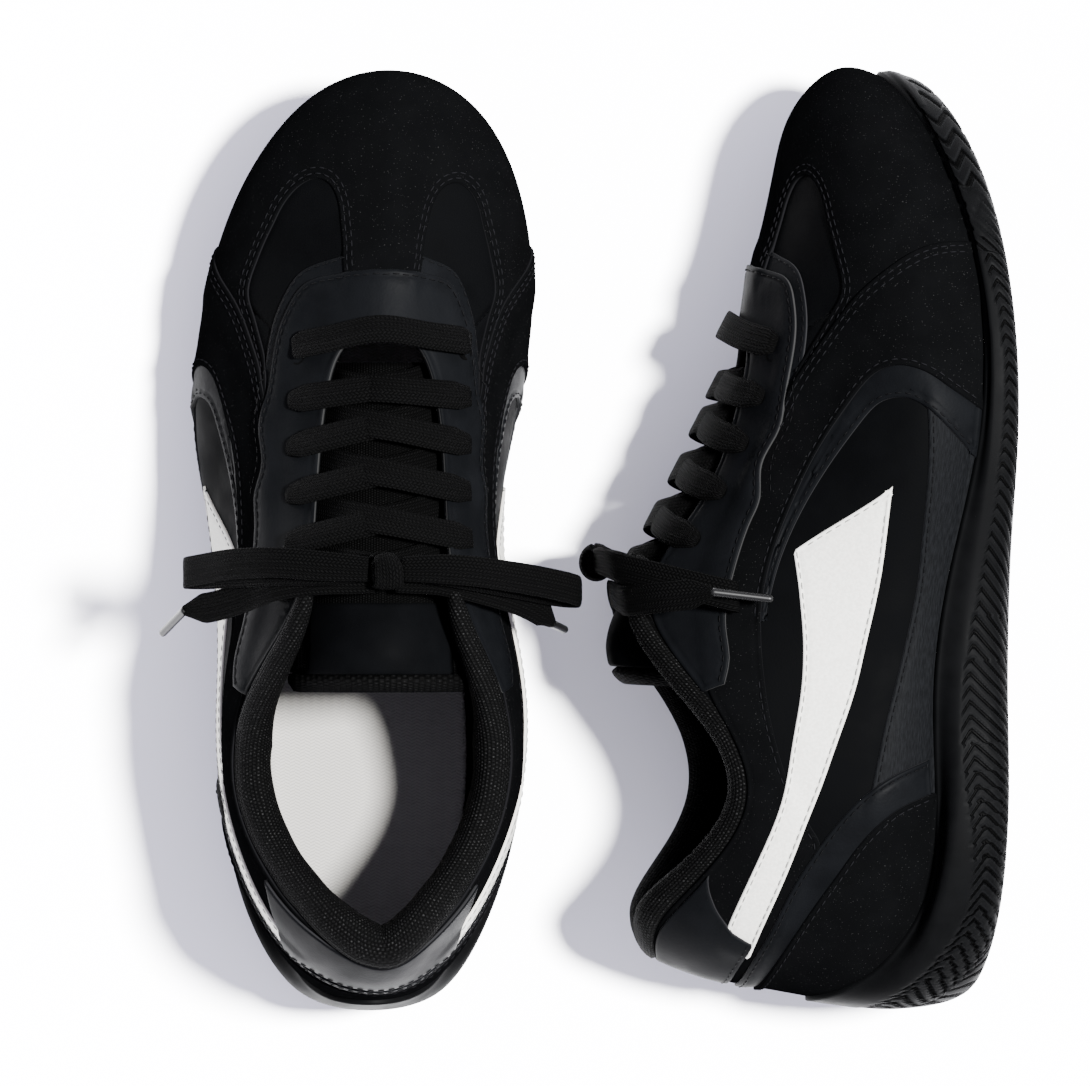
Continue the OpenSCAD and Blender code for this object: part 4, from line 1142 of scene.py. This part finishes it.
def add_lacing():
    """The straight first bar and the crossing straps, each from beside the tongue into the next hole."""
    shift = np.array([0, 3.0, 0])
    left, right = eyelet(0, True, 1.0) + shift, eyelet(0, False, 1.0) + shift
    crest = np.array([MIDDLE_X, 202.0, 84.8])

    def towards(a, b, f, up):
        return a + (b - a) * f + np.array([0, 0, up])
    bar = [left * 0.97 + crest * 0.03 - np.array([0, 0.6, 2.4]), left, towards(left, crest, 0.4, 2.4), crest,
           towards(right, crest, 0.4, 2.4), right, right * 0.97 + crest * 0.03 - np.array([0, 0.6, 2.4])]
    bands = [band(bar, SLOPE, 1.5, ((0, 0.5), (0.07, 1), (0.93, 1), (1, 0.5)))]
    for i in range(EYELETS - 1):
        for outer, rise in ((True, 1.25), (False, 2.95)):
            sign = -1 if outer else 1
            start = beside_tongue(max(eyelet(i, not outer, 0)[1] - 3.0, 0) - (4.0 if i == 0 else 0), not outer)
            first = on_tongue(start[0] + sign * 2.5, start[1] - 1.0, rise + 0.4)
            under = on_tongue(start[0] - sign * 1.5, start[1], rise - 1.2)
            last = eyelet(i + 1, outer, 1.0)
            hole = eyelet(i + 1, outer, -1.6)
            y0, y1 = first[1], last[1]
            crest = on_tongue(MIDDLE_X + sign * 3, y0 + 0.45 * (y1 - y0), rise + 3.6)
            shoulder = towards(crest, last, 0.55, 2.6)
            route = [under, first, on_tongue(MIDDLE_X - sign * 9, y0 + 0.22 * (y1 - y0), rise + 2.0),
                     crest, shoulder, last, last * 0.3 + hole * 0.7]
            bands.append(band(route, SLOPE, 1.5, ((0, 1), (0.88, 1), (1, 0.5))))
    points, faces, uvs = [], [], []
    for rings, _, uv in bands:
        base = sum(len(p) for p in points)
        rows = len(rings)
        points.append(rings[:, ::-1].reshape(-1, 3))
        uvs.append(uv.reshape(rows, SECTION, 2)[:, ::-1].reshape(-1, 2))
        faces += [tuple(base + k for k in f) for f in grid_faces(rows, SECTION, True, True)]
    add_mesh("lace", np.concatenate(points), faces, "shoe", BRAID, ("lace",), None, np.concatenate(uvs))


KNOT = np.array([5, 130.5, 121.0])
LOOPS = {
    "left": [[(0, 131, 122.3), (-14, 132, 121.8), (-28, 133, 118), (-40, 132.5, 108), (-49, 131, 97),
              (-54, 130, 90), (-53, 129.5, 85.5), (-48, 129.5, 89.3), (-38.5, 130, 102.3), (-28, 130.5, 112.9),
              (-14, 130.5, 118.5), (0, 131, 119.3)],
             [(10, 131, 122.3), (22, 131, 122.2), (34, 130, 118.5), (47, 128, 109), (57, 126, 100),
              (62, 124.5, 93.5), (60.5, 124, 89), (55.5, 124.5, 92), (45, 126.5, 102.4), (34, 128.5, 112.6),
              (22, 130.5, 118.1), (10, 131, 119.3)]],
    "right": [[(0, 131, 121.5), (-14, 131, 120), (-27, 129.5, 116), (-36, 127.5, 107), (-42, 125, 95.5),
               (-44.5, 123, 86.5), (-43.5, 122, 82.5), (-40, 122, 85), (-38, 125, 96), (-29, 128, 108.5),
               (-14, 130, 115.3), (0, 131, 118)],
              [(10, 131, 121.5), (22, 131, 120.5), (32, 130, 116), (39.5, 128, 109), (43.5, 125, 101.5),
               (45, 121, 95.5), (43, 119, 92.5), (40.5, 120.5, 96.5), (37.5, 125, 104.5), (30, 128.5, 112),
               (21, 130.5, 116), (10, 131, 118)]]}
TAILS = {
    "left": [[(2, 128, 116.6), (-10, 128, 115.6), (-19, 127.5, 114), (-28, 126, 109.2), (-37, 122.6, 98.6),
              (-46, 119.9, 91), (-54.4, 118.8, 84.5)],
             [(8, 128, 116.4), (18, 128, 115.6), (26, 126.8, 113.7), (34, 125, 109), (44, 122, 99),
              (51, 118.5, 92), (54, 115, 87.5)]],
    "right": [[(2, 121.5, 116.5), (-14, 120.5, 115.5), (-29, 120, 114), (-42.5, 121.5, 105), (-49, 123.5, 90)],
              [(8, 121.5, 116.5), (22, 119.5, 114.5), (34, 115.5, 109), (41.5, 111.5, 101.5), (46, 107.5, 92.5)]]}
TIPS = {"left": [(-61.5, 111.7, 71.5), (58, 113, 71.5)], "right": [(-51, 121.8, 72.5), (47.5, 101.5, 78)]}


def add_bow():
    """Two loops, the knot between them, and two tails with hard tips, on each shoe."""
    for side in SIDES:
        for k, route in enumerate(LOOPS[side]):
            obj, line = flat_lace(f"bow_loop_{k + 1}", route, ACROSS, "shoe", ("bow",), side,
                                  width=((0, 0.82), (0.1, 1), (0.9, 1), (1, 0.82)))
        for k, (route, end) in enumerate(zip(TAILS[side], TIPS[side])):
            tail = f"lace_tail_{k + 1}"
            obj, line = flat_lace(tail, route, ACROSS, "shoe", ("lace_tails",), side,
                                  width=((0, 0.9), (0.1, 1), (0.9, 1), (1, 0.34)), bow=0.15)
            start, stop = np.array(route[-1], float), np.array(end, float)
            run = unit(stop - start)
            flat = unit(np.cross(run, (0, 0, 1.0)))
            other = np.cross(run, flat)
            h = circle(20)
            rings = []
            whole_run = np.linalg.norm(stop - start)
            for f, r in ((-0.8, 1.15), (0.0, 1.3), (0.4, 1.32), (0.9, 1.22), (whole_run - 1.2, 1.2),
                         (whole_run - 0.5, 1.05), (whole_run, 0.6)):
                rings.append(start + run * f + np.outer(np.cos(h) * r, flat) + np.outer(np.sin(h) * r, other))
            tip, = loft(f"aglet_{k + 1}", rings, "shoe", (("tip",), "tip_plastic"), ("aglets",), sides=(side,))
        h = circle(40)
        x = np.array([-4.3, -4.0, -3.2, -2, 0, 2, 3.2, 4.0, 4.3])
        r = (1 - (np.abs(x) / 4.35) ** 4) ** 0.5
        core = [KNOT + np.stack([np.full(40, a), 4.3 * b * np.cos(h), 3.8 * b * np.sin(h)], 1)
                for a, b in zip(x, r)]
        arc = h[None, :] * 4.5 + 0 * x[:, None]
        uv = np.stack([arc.ravel(), np.repeat(x, 40)], 1) * MM
        loft("knot_core", core, "shoe", BRAID, ("bow",), uv=uv, sides=(side,))
        turn = np.linspace(0.3, 2 * math.pi + 0.1, 26)
        wrap = KNOT + np.stack([1.3 * np.sin(turn - 0.5), 4.6 * np.cos(turn), 4.1 * np.sin(turn)], 1)
        flat_lace("knot_wrap", wrap, (1, 0, 0), "shoe", ("bow",), side, 1.0,
                  ((0, 0.7), (0.2, 0.95), (0.8, 0.95), (1, 0.7)), 0.5)


# ---- stitches and holes ------------------------------------------------------------------------------------
threads = {}


STITCH_PITCH, STITCH_LONG, STITCH_THICK = 3.0, 2.1, 0.42
STITCH_SHAPE = ((-0.5, 0.05, -0.5), (-0.42, 0.75, -0.1), (0, 1.0, 0.12), (0.42, 0.75, -0.1), (0.5, 0.05, -0.5))


def stitch_on(points, normals, color):
    """Stitches along a line of points, gathered by colour."""
    run = running(points)
    count = max(int(run[-1] / STITCH_PITCH), 1)
    centres = (np.arange(count) + 0.5) * run[-1] / count

    def at(x, field):
        return np.stack([np.interp(x, run, field[:, k]) for k in range(3)], 1)
    n = unit(at(centres, normals))
    ahead, back = at(centres + 0.3, points), at(centres - 0.3, points)
    middle = at(centres, points)
    run_dir = unit(ahead - back)
    side = unit(np.cross(n, run_dir))
    h = circle(6)
    rows = []
    for f, r, lift in STITCH_SHAPE:
        centre = middle + run_dir * f * STITCH_LONG + n * lift * STITCH_THICK
        rows.append(centre[:, None] + STITCH_THICK / 2 * r * (
            np.cos(h)[None, :, None] * side[:, None] + np.sin(h)[None, :, None] * n[:, None]))
    threads.setdefault(color, []).append(np.stack(rows, 1))


def stitch(line, color):
    """Stitches along (s, t) points on top of the sewn layers."""
    s, t = respaced_on(line, 0.8).T
    stitch_on(raised(s, t, sample(height, s, t) + 0.05), frame_at(s, t)[3], color)


def shifted(line, distance):
    """An open line of (s, t) moved to its left."""
    q = respaced_on(line, 1.0)
    _, du, dv, n = frame_at(q[:, 0], q[:, 1])
    step = np.gradient(q, axis=0)
    return moved(q, unit(np.cross(n, unit(step[:, :1] * du + step[:, 1:] * dv))), distance, du, dv)


def bare(line, under=()):
    """The runs of a line that lie above the rubber and aren't covered by the panels named."""
    q = np.asarray(line, float)
    seen = q[:, 1] > lip_level(q[:, 0] % STATIONS) + 0.12
    for name in under:
        for lap in (-STATIONS, 0, STATIONS):
            seen &= ~inside(loops_of[name], q[:, 0] + lap, q[:, 1])
    runs, run = [], []
    for point, shown in zip(q, seen):
        if shown:
            run.append(tuple(point))
        elif run:
            runs.append(run)
            run = []
    return [r for r in runs + [run] if len(r) > 2]


def both_stitched(line, distances, color, under=()):
    for d in distances:
        row = shifted(line, d)
        for run in bare(row, under):
            stitch(run, color)
        for run in bare(mirrored(row), [name.replace("lateral", "medial") for name in under]):
            stitch(run, color)


def add_stitches():
    facing = whole(along(FACING, 4))
    stitch(shifted(facing, -1.7), "thread")
    underlay = shifted([(s, t - 0.17) for s, t in along(FACING[5:], 4) if s > 10.9], -1.1)
    stitch(underlay, "thread")
    stitch(mirrored(underlay), "thread")
    both_stitched(along(OVERLAY_FRONT), (-1.7, -3.6), "light_thread", ("eyestay",))
    both_stitched(along(OVERLAY_SEAM), (1.7,), "light_thread", ("stripe_lateral", "heel_trim", "heel_tab"))
    both_stitched(along(ARCH_OUTER), (1.9,), "light_thread", ("stripe_lateral",))
    both_stitched(along(ARCH_INNER), (1.4,), "thread", ("stripe_lateral",))
    both_stitched(along(CAP_SIDE[1:]), (1.6, 3.4), "light_thread", ("eyestay", "side_overlay_lateral"))
    both_stitched(along(STRIPE_LOW)[2:], (1.2,), "grey_thread", ("heel_tab", "heel_trim"))
    both_stitched(along(STRIPE_HIGH), (-1.2,), "grey_thread", ("heel_tab", "heel_trim"))
    front = np.linspace(STRIPE_HIGH[0], STRIPE_LOW[0], 30)[3:-5]
    both_stitched([tuple(p) for p in front], (1.2,), "grey_thread")
    both_stitched(along(RAND_TOP), (-1.5,), "thread", ("arch_trim_lateral", "heel_trim"))
    for line, distance, color in ((BAND_OUTER, -1.5, "thread"), (BAND_INNER, -1.6, "light_thread"),
                                  (TAB_LOW, 1.5, "thread")):
        for run in bare(shifted(round_heel(along(line)), distance)):
            stitch(run, color)
    for color, groups in threads.items():
        caps = np.concatenate(groups)
        n, rows, columns = caps.shape[:3]
        one = grid_faces(rows, columns, True, True)
        faces = [tuple(base * rows * columns + k for k in f) for base in range(n) for f in one]
        slot_name = {"light_thread": "suede", "grey_thread": "white_leather"}.get(color, "trim_leather")
        add_mesh(f"{color}_shoe", caps.reshape(-1, 3), faces, "shoe", ((color,), slot_name))


def add_holes():
    """The punched holes, as small dark dished discs just above the facing."""
    points, faces = [], []
    h = circle(18)
    for outer in (True, False):
        for i in range(EYELETS):
            s, t = hole_at(i, outer)
            p, du, _, n = frame_at(s, t)
            e, f = unit(du), unit(np.cross(n, du))
            top = sample_height(s, t)
            base = len(points)
            for r, d in ((2.5, 0.02), (2.1, 0.05), (1.6, -0.05), (0.01, -0.2)):
                points += list(p + n * (top + d) + r * (np.outer(np.cos(h), e) + np.outer(np.sin(h), f)))
            faces += [tuple(base + k for k in g) for g in grid_faces(4, 18, True)]
    add_mesh("lace_holes", np.array(points), faces, "shoe", (("lining",), "trim_leather"))


# ---- build -------------------------------------------------------------------------------------------------
add_panels()
add_sole()
add_collar()
add_lining()
add_insole()
add_tongue()
add_lacing()
add_bow()
add_stitches()
add_holes()
for side in SIDES:
    for node, material in (("midsole", "foam"), ("heel_counter", "board")):
        obj = bpy.data.objects[f"{side}_{node}"]
        obj.data.materials.clear()
        obj.data.materials.append(MATERIALS[material])


SUN, SKY = 55.0, 1.8
SKY_COLOR = (0.94, 0.92, 1.13, 1)


def add_floor_and_light():
    bpy.ops.mesh.primitive_plane_add(size=6, location=(0, 0, 0))
    floor = bpy.context.active_object
    floor.name = "floor"
    floor.data.materials.append(MATERIALS["floor"])
    sun_data = bpy.data.lights.new("sun", "SUN")
    sun_data.energy = SUN
    sun_data.angle = math.radians(8)
    sun = link(bpy.data.objects.new("sun", sun_data))
    sun.rotation_euler = (math.radians(-4), math.radians(24), 0)
    world = bpy.data.worlds.new("world")
    bpy.context.scene.world = world
    world.use_nodes = True
    background = world.node_tree.nodes["Background"]
    background.inputs["Color"].default_value = SKY_COLOR
    background.inputs["Strength"].default_value = SKY


add_floor_and_light()
